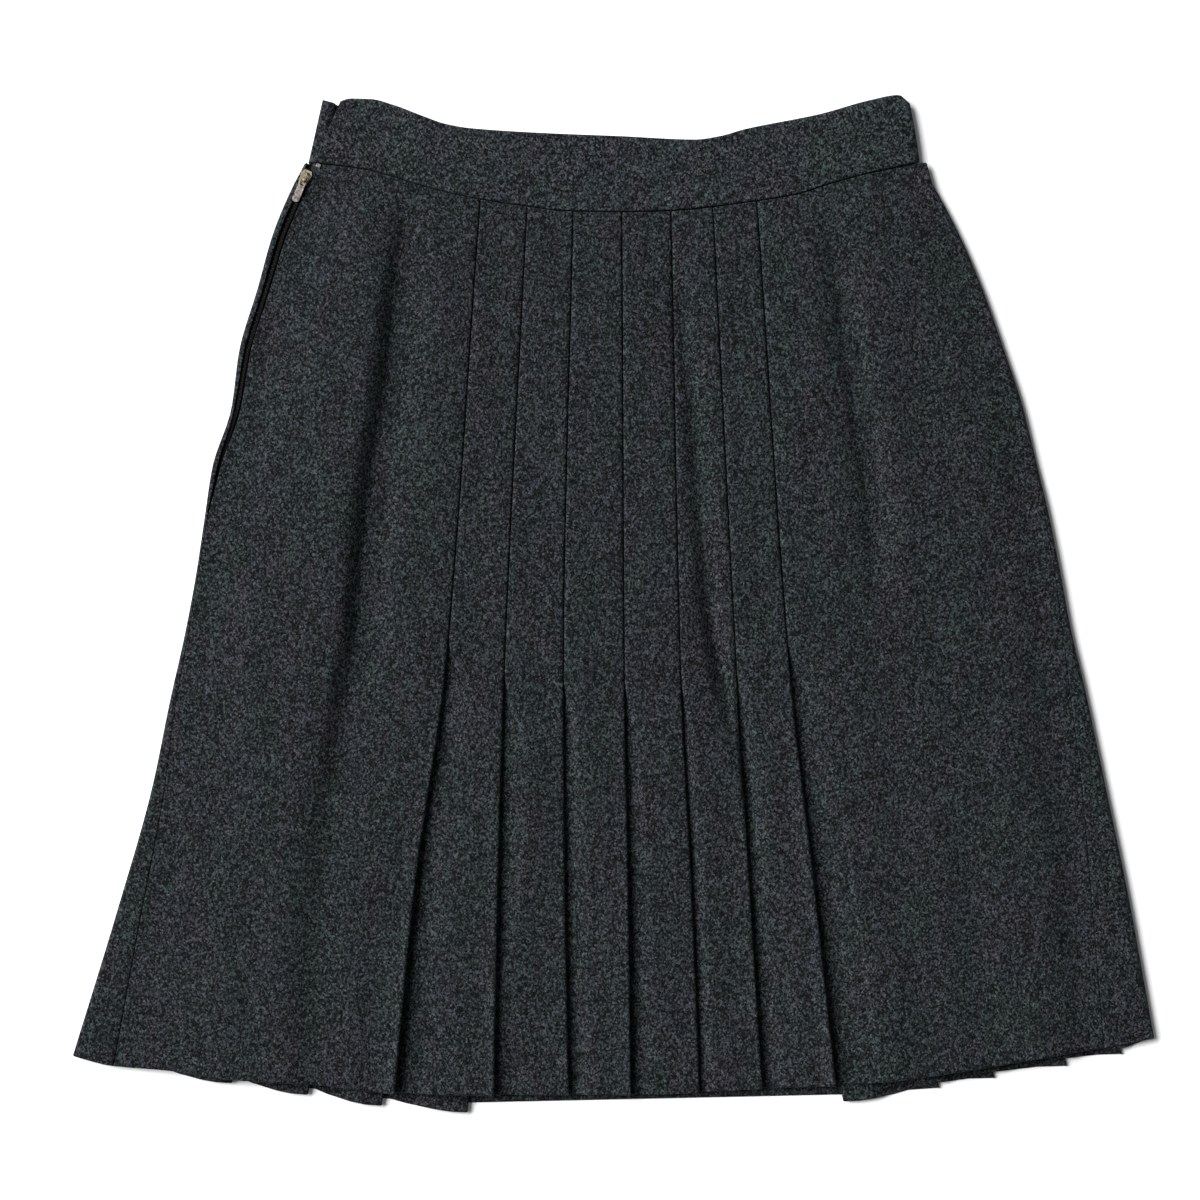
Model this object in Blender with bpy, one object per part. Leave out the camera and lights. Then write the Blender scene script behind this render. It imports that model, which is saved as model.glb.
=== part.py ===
"""Pleated wool skirt, laid flat with its front up.

The skirt lies on the plane z = 0: +X is the viewer's right, +Y points to the waist. The origin is
under the middle of the object. The front and back panels are single walls of cloth whose cross
section is worked out row by row, from the waist seam (share 0) to the hem (share 1).
Tables are in millimetres, meshes in metres.
"""
import math
from collections import namedtuple

import bmesh
import bpy
from mathutils import Matrix, Vector

MM = 0.001

# Cloth and its layers.
CLOTH = 1.0                      # thickness of the flannel
LAYER_GAP = 0.35                 # air between the layers of a pressed pleat
LAYER = CLOTH + LAYER_GAP
STACK = 3 * CLOTH + 2 * LAYER_GAP
SEAM_GAP = 0.3                   # air between two pieces at a seam
WAIST_GAP = 0.35                 # how far the panels stop short of the waist seam
LEVELS = [CLOTH / 2 + i * LAYER for i in range(3)]   # middle heights of a pleat's three layers
FOLD_REACH = LAYER / 2 + CLOTH / 2                   # from the middle of a fold to its outer face
FLOOR = STACK + 0.4              # the front's lowest point, just above the back's pleats
REST_GAP = 0.3                   # air under the front where it is a single layer
SIDE_HEIGHT = FLOOR + REST_GAP + CLOTH   # outer height of the rounded side folds
SIDE_RADIUS = (SIDE_HEIGHT - CLOTH) / 2
TURN_COLUMNS = 5                 # columns of points round half a side fold

# The front sinks over the back's plain middle, low down.
MIDDLE_DIP = 2.4                 # how far, at the hem
MIDDLE_X = 22.0
MIDDLE_REACH = (30.0, 92.0)      # half width at the waist and at the hem
MIDDLE_EDGE = 16.0               # width over which it sinks
DIP_FROM, DIP_OVER = 0.55, 0.35  # shares of the length where it starts, and that it takes

# The front's plain sides rise from the side folds to a pleat's height and a little more.
PLAIN_RISE = 34.0
PUFF = 0.9
PUFF_RISE = 8.0
LOWEST_GAP = 0.05                # least air under the cloth in a trough

# Moves the sizes below, taken about the photographed outline's middle, to the solids' own middle.
CENTRE = Vector((0.85, 0.82, 0.0))

# Waistband.
BAND_CLOTH = 2.8                 # two layers of flannel with interfacing
BAND_GAP = 0.6                   # air between the front and the back of the band
BAND_BEVEL = 0.9                 # rounding of its top and bottom edge, down the face
BAND_BEVEL_IN = 0.675            # and into the thickness
BAND_RIGHT = (166.5, 172.1)      # x of its right fold, at the top and at the seam
BAND_LEFT = (-156.2, -171.2)     # x of its front end
BAND_BACK_LEFT = (-167.0, -173.8)    # x of its back end, which shows past the front end
BAND_FRONT_COLUMNS, BAND_TURN_COLUMNS, BAND_BACK_COLUMNS = 25, 5, 20
BAND_BACK_DROP = 1.0             # how far the back's top edge lies below the front's
BAND_BACK_SLOPE = 0.35           # fall of the top edge past the front end

# Zip.
TAPE_BOTTOM = 2.7
TAPE_TOP = 3.6
CHAIN_TOP = 4.5
TAPE_INSET = 2.2                 # the tape's outer edge, in from the silhouette
CHAIN_HALF_WIDTH = 1.15
TAPE_UNDER = 6.0                 # how far it reaches under the front
TAPE_START = 0.006               # shares of the length where the tape starts and ends
TAPE_END = 0.36
CHAIN_CROWN = 0.7                # width of the chain's top as a share of its foot
CHAIN_FADE = 0.02                # height of the flat chain line below the chain's end
CHAIN_END = 0.28                 # share of the length where the closed chain ends

# Rows of the cloth, as shares of the length from the waist seam to the hem.
ROWS = (0.0, 0.03, 0.08, 0.14, 0.21, 0.275, 0.34, 0.40, 0.465, 0.53, 0.60, 0.70, 0.84, 1.0)

# Outline at each share: left and right are the silhouette's x. left_seam and right_seam are where the
# front ends, measured along the rounded side fold from its top: negative is inward on the flat front,
# positive is round the fold. slot is the opening between front and back, filled by the zip.
Section = namedtuple("Section", "share left left_seam slot right right_seam")
SECTIONS = (
    Section(0.000, -174.9, -1.8, 2.8, 172.1, 3.4),
    Section(0.030, -182.8, -6.0, 4.4, 181.1, 3.4),
    Section(0.080, -193.2, -5.5, 4.2, 194.1, 3.4),
    Section(0.140, -201.7, -4.6, 3.8, 207.0, 3.4),
    Section(0.210, -212.1, -4.0, 3.4, 219.4, 3.4),
    Section(0.275, -216.6, -2.6, 3.2, 230.1, 3.3),
    Section(0.340, -227.2, -1.8, 1.8, 237.7, 2.4),
    Section(0.400, -231.8, 1.0, 0.5, 244.7, 0.5),
    Section(0.465, -236.8, 1.2, 0.3, 251.2, -0.4),
    Section(0.530, -243.0, 0.7, 0.3, 257.1, -2.1),
    Section(0.600, -250.9, -0.7, 0.3, 265.2, -6.0),
    Section(0.700, -261.3, -4.3, 0.3, 275.6, -10.2),
    Section(0.840, -281.3, -11.0, 0.3, 290.0, -18.5),
    Section(1.000, -306.0, -20.9, 0.3, 304.3, -26.0),
)

# Edges that run across the skirt.
Point = namedtuple("Point", "x y")
WAIST_SEAM = (
    Point(-174.9, 249.5), Point(-145.1, 246.1), Point(-126.6, 241.6), Point(-108.6, 236.0),
    Point(-85.5, 230.3), Point(-51.2, 224.7), Point(-28.1, 221.9), Point(2.8, 221.3),
    Point(30.4, 221.9), Point(76.5, 227.0), Point(101.2, 230.9), Point(123.2, 237.7),
    Point(146.2, 243.8), Point(172.7, 249.5),
)
BAND_TOP = (
    Point(-157.5, 282.6), Point(-149.0, 285.3), Point(-137.8, 285.0), Point(-123.8, 281.3),
    Point(-109.7, 275.9), Point(-95.6, 271.0), Point(-81.6, 268.6), Point(-39.4, 265.8),
    Point(2.8, 264.1), Point(45.0, 262.2), Point(59.1, 264.1), Point(73.1, 268.0),
    Point(115.3, 276.5), Point(143.4, 284.3), Point(160.0, 287.3), Point(166.5, 281.5),
)
FRONT_HEM = (
    Point(-306.0, -254.5), Point(-282.4, -260.2), Point(-251.4, -262.4), Point(-216.0, -267.5),
    Point(-170.4, -270.3), Point(-124.3, -275.1), Point(-64.7, -276.5), Point(10.1, -276.5),
    Point(83.2, -272.9), Point(124.9, -270.8), Point(154.7, -268.6), Point(202.5, -261.8),
    Point(242.4, -255.0), Point(275.6, -250.0), Point(304.3, -244.5),
)

# Front pleats from left to right. Every crease faces +X. The crease's x is given at the waist, where
# the stitching ends (release), low down and at the hem. depth is how far the cloth is folded under,
# lift how far the released crease stands up, trench the width of the gap beside it and rise the width
# of the slope up to the next panel.
Pleat = namedtuple("Pleat", "waist release low hem depth_waist depth_hem lift trench rise")
FRONT_PLEATS = (
    Pleat(-75.9, -95.6, -112.5, -123.8, 8.5, 21.0, 3.0, 4.2, 9.0),
    Pleat(-49.5, -62.4, -65.8, -68.1, 8.5, 22.0, 2.2, 2.4, 9.0),
    Pleat(-23.6, -29.0, -28.1, -25.9, 8.5, 19.0, 1.6, 1.8, 7.5),
    Pleat(3.9, 5.3, 7.6, 9.0, 8.5, 17.0, 2.4, 4.0, 6.0),
    Pleat(31.5, 37.1, 43.3, 47.8, 8.5, 18.0, 1.2, 1.2, 4.5),
    Pleat(55.1, 68.6, 75.9, 83.2, 8.0, 18.0, 2.0, 2.2, 5.5),
    Pleat(79.9, 98.4, 111.9, 124.3, 8.0, 20.0, 3.0, 3.8, 8.0),
)
PLEAT_STOPS = (0.0, 0.53, 0.77, 1.0)      # shares of the four crease columns
RELEASE = 0.53
RELEASE_LENGTH = 0.12            # share of the length over which a pleat opens
STITCHED_TRENCH = 0.9
STITCHED_RISE = 3.0
CREASE_LEAD = 4.0                # the lift starts this far left of the crease
LEAD_LIFT = 0.8                  # share of the lift there
UNDER_STOP = 0.6                 # the lowest layer's last column, left of the crease
SHOULDER_SOFT = 0.6              # how much of the soft folds the next panel's edge follows
TRENCH_RISE = 0.1
PANEL_LIFT = 0.15                # share of the lift that the next panel takes on
OVER_MARGIN = 1.5                # a panel is level up to this far before the next fold under it
PANEL_MIDDLE = 0.55

# Back pleats, each a pair's half: side -1 has its inner crease facing +X, side 1 facing -X, both
# towards the plain middle. The hem's y is given at the crease and at the fold under it.
BackPleat = namedtuple("BackPleat", "side waist hem depth_waist depth_hem hem_crease hem_under")
BACK_PLEATS = (
    BackPleat(-1, -135.0, -255.9, 7.0, 13.0, -262.4, -261.8),
    BackPleat(-1, -111.0, -216.0, 7.0, 15.0, -270.0, -265.8),
    BackPleat(-1, -87.0, -173.2, 8.0, 16.0, -276.5, -272.0),
    BackPleat(-1, -62.0, -131.6, 8.0, 16.0, -282.7, -277.9),
    BackPleat(-1, -37.0, -83.2, 8.0, 17.0, -286.6, -281.8),
    BackPleat(1, 43.0, 128.8, 8.0, 15.0, -280.4, -276.5),
    BackPleat(1, 68.0, 169.3, 8.0, 14.0, -270.0, -273.1),
    BackPleat(1, 93.0, 202.5, 8.0, 12.0, -264.1, -267.5),
    BackPleat(1, 116.0, 242.4, 7.0, 13.0, -256.2, -260.7),
    BackPleat(1, 138.0, 275.6, 7.0, 11.0, -251.2, -254.0),
)
BACK_SLOPE_REST = 0.45           # share of the free width where a back panel starts to climb
CLIMB_MARGIN = 1.0               # the climb ends this far before the fold under it
CREASE_HEM_STEPS = (0.45, 0.75, 1.0, 1.0, 1.0)   # how the hem runs down to each crease
UNDER_FOLD_COLUMNS = 3
BACK_MIDDLE = (0.2, 0.4, 0.6, 0.8)   # columns across the plain middle, as shares of its width

# The front's columns of points between its pleats and its sides.
EDGE_STEPS = (0.0, 0.8, 2.6, 5.5)            # distances of the outermost from the edge
LEFT_SIDE_COLUMNS = (0.3, 0.6, 0.85)         # shares of the way to the left trough
LEFT_TROUGH_COLUMNS = (-12.0, -5.5, 0.0, 5.5, 12.0)
RIGHT_TROUGH_COLUMNS = (-9.0, -4.5, 0.0, 4.5, 9.0)
BETWEEN_COLUMNS = (0.35, 0.65)
OUTER_FOLD_SHIFT = 6.0
RIGHT_SIDE_COLUMNS = (0.33, 0.66)
EDGE_MARGIN = 0.15                           # extra air where the back starts beside the front
EDGE_TURN = 0.8

# Soft folds pressed into the front by lying: nodes from top to bottom, height below zero is a trough.
FOLDS_TOP_Y, FOLDS_LOW_Y = 240.0, -270.0
Node = namedtuple("Node", "x y width height")
FOLDS = {
    "left_trough": (
        Node(-119.8, 224.7, 5.0, 0.0), Node(-123.2, 193.8, 6.0, -3.0), Node(-129.9, 137.5, 6.5, -4.2),
        Node(-142.3, 47.5, 6.5, -4.4), Node(-149.1, -20.0, 6.5, -3.7), Node(-154.7, -53.7, 7.5, -2.6),
        Node(-163.1, -110.0, 9.0, -1.7), Node(-170.4, -194.3, 9.0, -1.3), Node(-172.7, -270.3, 9.0, -1.3),
    ),
    "left_ridge": (
        Node(-134.0, 215.0, 8.0, 0.0), Node(-146.0, 120.0, 9.0, 1.3), Node(-160.0, 20.0, 9.0, 1.6),
        Node(-170.0, -60.0, 9.0, 1.2), Node(-186.0, -180.0, 10.0, 0.9), Node(-192.0, -265.0, 10.0, 0.6),
    ),
    "low_left_trough": (
        Node(-210.9, 2.5, 9.0, 0.0), Node(-217.7, -65.0, 9.0, -0.7), Node(-226.7, -132.5, 9.0, -1.3),
        Node(-239.1, -200.0, 9.0, -1.4), Node(-244.7, -261.8, 9.0, -0.9),
    ),
    "pleat_side_trough": (
        Node(-132.2, -143.7, 6.0, 0.0), Node(-136.7, -200.0, 6.0, -1.1), Node(-141.2, -272.0, 6.0, -1.3),
    ),
    "right_trough": (
        Node(119.8, 213.5, 5.0, 0.0), Node(126.6, 176.9, 5.5, -1.6), Node(132.2, 143.2, 5.5, -2.3),
        Node(137.8, 103.8, 5.5, -2.6), Node(142.3, 70.0, 5.5, -2.2), Node(146.8, 25.0, 6.0, -1.0),
        Node(149.1, -8.7, 6.0, 0.0),
    ),
    "right_ridge": (
        Node(138.0, 205.0, 7.0, 0.0), Node(148.0, 130.0, 8.0, 1.2), Node(157.0, 60.0, 8.0, 0.9),
        Node(163.0, 0.0, 8.0, 0.0),
    ),
    "outer_right_trough": (
        Node(149.0, 243.0, 4.0, -0.5), Node(157.5, 210.7, 4.5, -1.2), Node(163.1, 193.8, 4.5, -1.3),
        Node(168.8, 165.7, 5.0, -1.1), Node(174.4, 137.5, 5.0, 0.0),
    ),
    "middle_trough": (
        Node(34.3, 199.4, 4.0, 0.0), Node(38.2, 148.8, 4.5, -0.9), Node(42.2, 115.0, 5.0, -1.2),
        Node(47.8, 47.5, 5.0, -1.3), Node(51.8, -8.7, 5.0, -1.6), Node(59.1, -42.5, 5.0, -1.9),
        Node(65.2, -65.0, 4.5, -1.4), Node(71.4, -93.1, 4.0, 0.0),
    ),
    "hip_trough": (
        Node(208.7, 75.7, 5.0, 0.0), Node(212.1, 53.2, 5.0, -1.0), Node(214.9, 19.4, 5.0, -0.6),
        Node(216.6, -8.7, 5.0, 0.0),
    ),
}

# Zip slider and pull tab: along points down the zip, across to the viewer's right, up is +Z.
SLIDER_AT = Vector((-174.5, 240.6, 0.0))
SLIDER_ALONG = Vector((-0.40, -0.917, 0.0)).normalized()
SLIDER_ACROSS = Vector((0.917, -0.40, 0.0)).normalized()
SLIDER_LENGTH = 8.6
SLIDER_WIDTH = 6.4
SLIDER_CORE_WIDTH = 2.0
SLIDER_CORE_SHARE = 0.45         # the core's length as a share of the plate's
SLIDER_CORE_BOTTOM = CHAIN_TOP + 0.3
SLIDER_PLATE_BOTTOM = SIDE_HEIGHT + 0.35
SLIDER_PLATE_TOP = SLIDER_PLATE_BOTTOM + 0.6
SLIDER_SHOULDER = 0.55           # shares of its half length and half width at the plate's corners
SLIDER_NOSE = 0.62
SLIDER_TAIL = 0.72
JOIN = 0.2                       # how far joined pieces reach into each other
BRIDGE_WIDTH = 1.5
BRIDGE_OUTER = (-3.0, 3.0)
BRIDGE_INNER = (-1.7, 1.7)
BRIDGE_INNER_TOP = SLIDER_PLATE_TOP + 2.0
BRIDGE_TOP = BRIDGE_INNER_TOP + 0.8
BRIDGE_BEVEL = (0.8, 0.7)        # along the bridge and down it
HINGE_HEIGHT = SLIDER_PLATE_TOP + 1.1
HINGE_ALONG = 0.6
PULL_ROD_RADIUS = 0.5
PULL_ROD_SIDES = 10
PULL_ROD_INSET = 0.05
PULL_THICKNESS = 0.9
PULL_EYE_HALF = 1.2              # half width of the eye that straddles the bridge
PULL_HALF_WIDTH = 2.0
PULL_EYE_END = 4.4
PULL_EYE_JOIN = 0.5              # how far the eye's arms reach into the tab
PULL_ARM_SHARE = 0.8             # the arms' thickness as a share of the tab's
PULL_LENGTH = 14.5
PULL_ROUNDING = 2.2              # length of the tab's rounded end
PULL_ROUND_SIDES = 6
PULL_FLARE = 1.05                # width at the rounded end as a share of the width at the eye
PULL_DROOP = math.radians(5.0)   # the tab lies slightly downhill, towards the cloth

# Surface colours as (red, green, blue), roughness and metallic value.
Finish = namedtuple("Finish", "colour roughness metallic")
FINISHES = {
    "flannel": Finish((0.030, 0.029, 0.031), 0.92, 0.0),
    "tape": Finish((0.010, 0.010, 0.011), 0.85, 0.0),
    "brass": Finish((0.62, 0.47, 0.24), 0.30, 1.0),
    "silver": Finish((0.66, 0.63, 0.60), 0.28, 1.0),
}


def clear_scene():
    for item in list(bpy.data.objects):
        bpy.data.objects.remove(item, do_unlink=True)


def material(name):
    found = bpy.data.materials.get(name)
    if found:
        return found
    finish = FINISHES[name]
    made = bpy.data.materials.new(name)
    made.use_nodes = True
    shader = made.node_tree.nodes["Principled BSDF"]
    shader.inputs["Base Color"].default_value = (*finish.colour, 1.0)
    shader.inputs["Roughness"].default_value = finish.roughness
    shader.inputs["Metallic"].default_value = finish.metallic
    return made


def add_object(name, vertices, faces, finish):
    """A mesh object from points in millimetres, its faces turned outwards."""
    mesh = bpy.data.meshes.new(name)
    mesh.from_pydata([tuple(c * MM for c in v) for v in vertices], [], faces)
    shaped = bmesh.new()
    shaped.from_mesh(mesh)
    bmesh.ops.recalc_face_normals(shaped, faces=shaped.faces)
    bmesh.ops.triangulate(shaped, faces=shaped.faces)
    shaped.to_mesh(mesh)
    shaped.free()
    mesh.materials.append(material(finish))
    made = bpy.data.objects.new(name, mesh)
    bpy.context.collection.objects.link(made)
    return made


def smooth_curve(keys, values, at):
    """A curve through the given values that never overshoots them."""
    if at <= keys[0]:
        return values[0]
    if at >= keys[-1]:
        return values[-1]
    steps = [(values[i + 1] - values[i]) / (keys[i + 1] - keys[i]) for i in range(len(keys) - 1)]

    def slope(i):
        if i == 0:
            return steps[0]
        if i == len(keys) - 1:
            return steps[-1]
        if steps[i - 1] * steps[i] <= 0:
            return 0.0
        return 2 * steps[i - 1] * steps[i] / (steps[i - 1] + steps[i])

    i = max(k for k in range(len(keys) - 1) if keys[k] <= at)
    span = keys[i + 1] - keys[i]
    t = (at - keys[i]) / span
    start = (1 + 2 * t) * (1 - t) ** 2 * values[i] + t * (1 - t) ** 2 * span * slope(i)
    end = t * t * (3 - 2 * t) * values[i + 1] + t * t * (t - 1) * span * slope(i + 1)
    return start + end


def section(share, column):
    keys = [row.share for row in SECTIONS]
    return smooth_curve(keys, [getattr(row, column) for row in SECTIONS], share)


def edge_y(points, x):
    return smooth_curve([p.x for p in points], [p.y for p in points], x)


def ease(t):
    t = min(1.0, max(0.0, t))
    return t * t * (3 - 2 * t)


def mix(a, b, t):
    return a + (b - a) * t


def side_fold(along):
    """Distance in from the silhouette and height, along the mid-line of the rounded side fold."""
    middle = SIDE_HEIGHT / 2
    if along <= 0:
        return middle - along, middle + SIDE_RADIUS
    if along >= math.pi * SIDE_RADIUS:
        return middle + along - math.pi * SIDE_RADIUS, middle - SIDE_RADIUS
    angle = along / SIDE_RADIUS
    return middle - SIDE_RADIUS * math.sin(angle), middle + SIDE_RADIUS * math.cos(angle)


def fold_height(x, y):
    """Sum of the soft folds at a point of the front."""
    total = 0.0
    for nodes in FOLDS.values():
        down = [-n.y for n in nodes]
        if not down[0] - 1 <= -y <= down[-1] + 1:
            continue
        centre = smooth_curve(down, [n.x for n in nodes], -y)
        width = smooth_curve(down, [n.width for n in nodes], -y)
        height = smooth_curve(down, [n.height for n in nodes], -y)
        total += height * math.exp(-((x - centre) / width) ** 2)
    return total


def front_floor(x, share):
    """Lowest height of the front: over the back's pleats, and a little lower over its plain middle."""
    low = ease((share - DIP_FROM) / DIP_OVER)
    inside = ease((mix(*MIDDLE_REACH, share) - abs(x - MIDDLE_X)) / MIDDLE_EDGE)
    return FLOOR - MIDDLE_DIP * low * inside


def crease_x(pleat, share):
    return smooth_curve(PLEAT_STOPS, (pleat.waist, pleat.release, pleat.low, pleat.hem), share)


def trough_x(name, share):
    """The x of a soft fold at a share of the length, for placing columns of points along it."""
    nodes = FOLDS[name]
    y = mix(FOLDS_TOP_Y, FOLDS_LOW_Y, share)
    return smooth_curve([-n.y for n in nodes], [n.x for n in nodes], -y)


# A station is a point of a cross section: its x, its height above the floor and how much of the
# soft folds it follows. Stations on a side fold give a height of their own (fixed).
Station = namedtuple("Station", "x height soft fixed")


def front_side_station(share, left, back_off):
    seam = section(share, "left_seam" if left else "right_seam")
    inward, height = side_fold(seam - back_off)
    x = section(share, "left") + inward if left else section(share, "right") - inward
    return Station(x, height, 0.0, True)


def plain_height(x, share):
    """Height of the front's plain sides above the floor: low at the side folds, full further in."""
    left_in = x - section(share, "left") - side_fold(section(share, "left_seam") - EDGE_STEPS[-1])[0]
    right_in = section(share, "right") - side_fold(section(share, "right_seam") - EDGE_STEPS[-1])[0] - x
    inside = ease(min(left_in, right_in) / PLAIN_RISE)
    away = min(1.0, max(0.0, min(left_in, right_in) / PUFF_RISE))
    return REST_GAP + CLOTH / 2 + (2 * LAYER - REST_GAP) * inside + PUFF * inside * away


def front_pleat_stations(pleat, following, share):
    """One pleat: crease, the two layers folded under it, the gap beside it and the next panel."""
    released = ease((share - RELEASE) / RELEASE_LENGTH)
    grown = ease((share - RELEASE) / (1 - RELEASE)) ** 0.5
    x = crease_x(pleat, share)
    depth = mix(pleat.depth_waist, pleat.depth_hem, share)
    lift = pleat.lift * grown
    shoulder = x + mix(STITCHED_TRENCH, pleat.trench, released * grown)
    panel_start = shoulder + mix(STITCHED_RISE, pleat.rise, released)
    panel = LEVELS[2] + REST_GAP + PANEL_LIFT * lift
    found = [
        Station(x - CREASE_LEAD, LEVELS[2] + LEAD_LIFT * lift, 0.0, False),
        Station(x - FOLD_REACH, LEVELS[2] + lift, 0.0, False),
        Station(x - CLOTH / 2, (LEVELS[1] + LEVELS[2]) / 2 + lift, 0.0, False),
        Station(x - FOLD_REACH, LEVELS[1] + lift, 0.0, False),
        Station(x - depth + FOLD_REACH, LEVELS[1], 0.0, False),
        Station(x - depth + CLOTH / 2, (LEVELS[0] + LEVELS[1]) / 2, 0.0, False),
        Station(x - depth + FOLD_REACH, LEVELS[0], 0.0, False),
        Station(x - UNDER_STOP, LEVELS[0], 0.0, False),
        Station(shoulder, LEVELS[0] + TRENCH_RISE, 0.0, False),
        Station(panel_start, panel - REST_GAP, SHOULDER_SOFT, False),
    ]
    if following:
        under = mix(following.depth_waist, following.depth_hem, share)
        over = crease_x(following, share) - under - OVER_MARGIN
        found.append(Station(mix(panel_start, over, PANEL_MIDDLE), panel, 1.0, False))
        found.append(Station(over, panel, 0.0, False))
    return found


def front_stations(share):
    """Stations of the front from its left edge to its right edge."""
    stations = [front_side_station(share, True, off) for off in EDGE_STEPS]

    def plain(x):
        stations.append(Station(x, plain_height(x, share), 1.0, False))

    start = stations[-1].x
    trough = trough_x("left_trough", share)
    for t in LEFT_SIDE_COLUMNS:
        plain(mix(start, trough + LEFT_TROUGH_COLUMNS[0], t))
    for off in LEFT_TROUGH_COLUMNS:
        plain(trough + off)
    first = crease_x(FRONT_PLEATS[0], share) - CREASE_LEAD
    plain(mix(trough + LEFT_TROUGH_COLUMNS[-1], first, 0.5))
    for pleat, following in zip(FRONT_PLEATS, FRONT_PLEATS[1:] + (None,)):
        stations += front_pleat_stations(pleat, following, share)
    last = stations[-1].x
    inner, outer = trough_x("right_trough", share), trough_x("outer_right_trough", share)
    end = front_side_station(share, False, EDGE_STEPS[-1]).x
    plain(mix(last, inner + RIGHT_TROUGH_COLUMNS[0], 0.5))
    for off in RIGHT_TROUGH_COLUMNS:
        plain(inner + off)
    for t in BETWEEN_COLUMNS:
        plain(mix(inner + RIGHT_TROUGH_COLUMNS[-1], outer + OUTER_FOLD_SHIFT, t))
    plain(outer + OUTER_FOLD_SHIFT)
    for t in RIGHT_SIDE_COLUMNS:
        plain(mix(outer + OUTER_FOLD_SHIFT, end, t))
    stations += [front_side_station(share, False, off) for off in EDGE_STEPS[::-1]]
    return stations


def front_rows():
    """Mid-surface points of the front panel, a list for each row."""
    top = front_stations(0.0)
    low = front_stations(1.0)
    rows = []
    for share in ROWS:
        row = []
        for place, above, below in zip(front_stations(share), top, low):
            y_top = edge_y(WAIST_SEAM, above.x) - WAIST_GAP
            y = mix(y_top, edge_y(FRONT_HEM, below.x), share)
            if place.fixed:
                z = place.height
            else:
                floor = front_floor(place.x, share)
                z = floor + place.height + place.soft * fold_height(place.x, y)
                z = max(z, floor + CLOTH / 2 + LOWEST_GAP)
            row.append(Vector((place.x, y, z)))
        rows.append(row)
    return rows


def back_side_stations(share, left):
    """From the seam on the front, round the side fold, to the table: x and height pairs."""
    seam = section(share, "left_seam" if left else "right_seam")
    slot = section(share, "slot") if left else SEAM_GAP
    start = seam + max(slot, SEAM_GAP) + EDGE_MARGIN
    turn = max(start + EDGE_TURN, 0.0)
    bottom = math.pi * SIDE_RADIUS
    places = [start, mix(start, turn, 0.5)]
    places += [mix(turn, bottom, i / TURN_COLUMNS) for i in range(TURN_COLUMNS + 1)]
    silhouette = section(share, "left" if left else "right")
    found = []
    for along in places:
        inward, height = side_fold(along)
        x = silhouette + inward if left else silhouette - inward
        found.append((x, height))
    return found


def back_pleat_stations(pleat, share, free_from):
    """Stations of one back pleat, from the side towards the plain middle: x, height."""
    inward = -pleat.side
    x = mix(pleat.waist, pleat.hem, share)
    depth = mix(pleat.depth_waist, pleat.depth_hem, share)
    climb_end = x - inward * (depth + CLIMB_MARGIN)
    climb_start = mix(free_from, climb_end, BACK_SLOPE_REST)
    return [
        (climb_start, LEVELS[0]),
        (climb_end, LEVELS[2]),
        (x - inward * FOLD_REACH, LEVELS[2]),
        (x - inward * CLOTH / 2, (LEVELS[1] + LEVELS[2]) / 2),
        (x - inward * FOLD_REACH, LEVELS[1]),
        (x - inward * (depth - FOLD_REACH), LEVELS[1]),
        (x - inward * (depth - CLOTH / 2), (LEVELS[0] + LEVELS[1]) / 2),
        (x - inward * (depth - FOLD_REACH), LEVELS[0]),
    ]


def side_pleats(side):
    """The back pleats of one side, from the side fold towards the plain middle."""
    pleats = [p for p in BACK_PLEATS if p.side == side]
    return pleats if side < 0 else pleats[::-1]


def back_half(share, side):
    """Stations from one side seam to the plain middle."""
    found = back_side_stations(share, side < 0)
    free_from = found[-1][0]
    for pleat in side_pleats(side):
        found += back_pleat_stations(pleat, share, free_from)
        free_from = mix(pleat.waist, pleat.hem, share)
    return found


def back_hem(side):
    """The hem's y for each station of one half, in the order of back_half."""
    values = [edge_y(FRONT_HEM, x) for x, height in back_side_stations(1.0, side < 0)]
    before_y = values[-1]
    for pleat in side_pleats(side):
        values += [mix(before_y, pleat.hem_crease, t) for t in CREASE_HEM_STEPS]
        values += [pleat.hem_under] * UNDER_FOLD_COLUMNS
        before_y = pleat.hem_under
    return values


def back_stations(share):
    """All stations of the back, from the left seam to the right one: x, height."""
    left, right = back_half(share, -1), back_half(share, 1)[::-1]
    middle = [(mix(left[-1][0], right[0][0], t), CLOTH / 2) for t in BACK_MIDDLE]
    return left + middle + right


def back_rows():
    """Mid-surface points of the back panel, a list for each row."""
    top = back_stations(0.0)
    left_hem, right_hem = back_hem(-1), back_hem(1)[::-1]
    hem = left_hem + [mix(left_hem[-1], right_hem[0], t) for t in BACK_MIDDLE] + right_hem
    rows = []
    for share in ROWS:
        row = []
        stations = back_stations(share)
        for (x, z), (x_top, z_top), y_hem in zip(stations, top, hem):
            y_top = edge_y(WAIST_SEAM, x_top) - WAIST_GAP
            row.append(Vector((x, mix(y_top, y_hem, share), z)))
        rows.append(row)
    return rows


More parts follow.
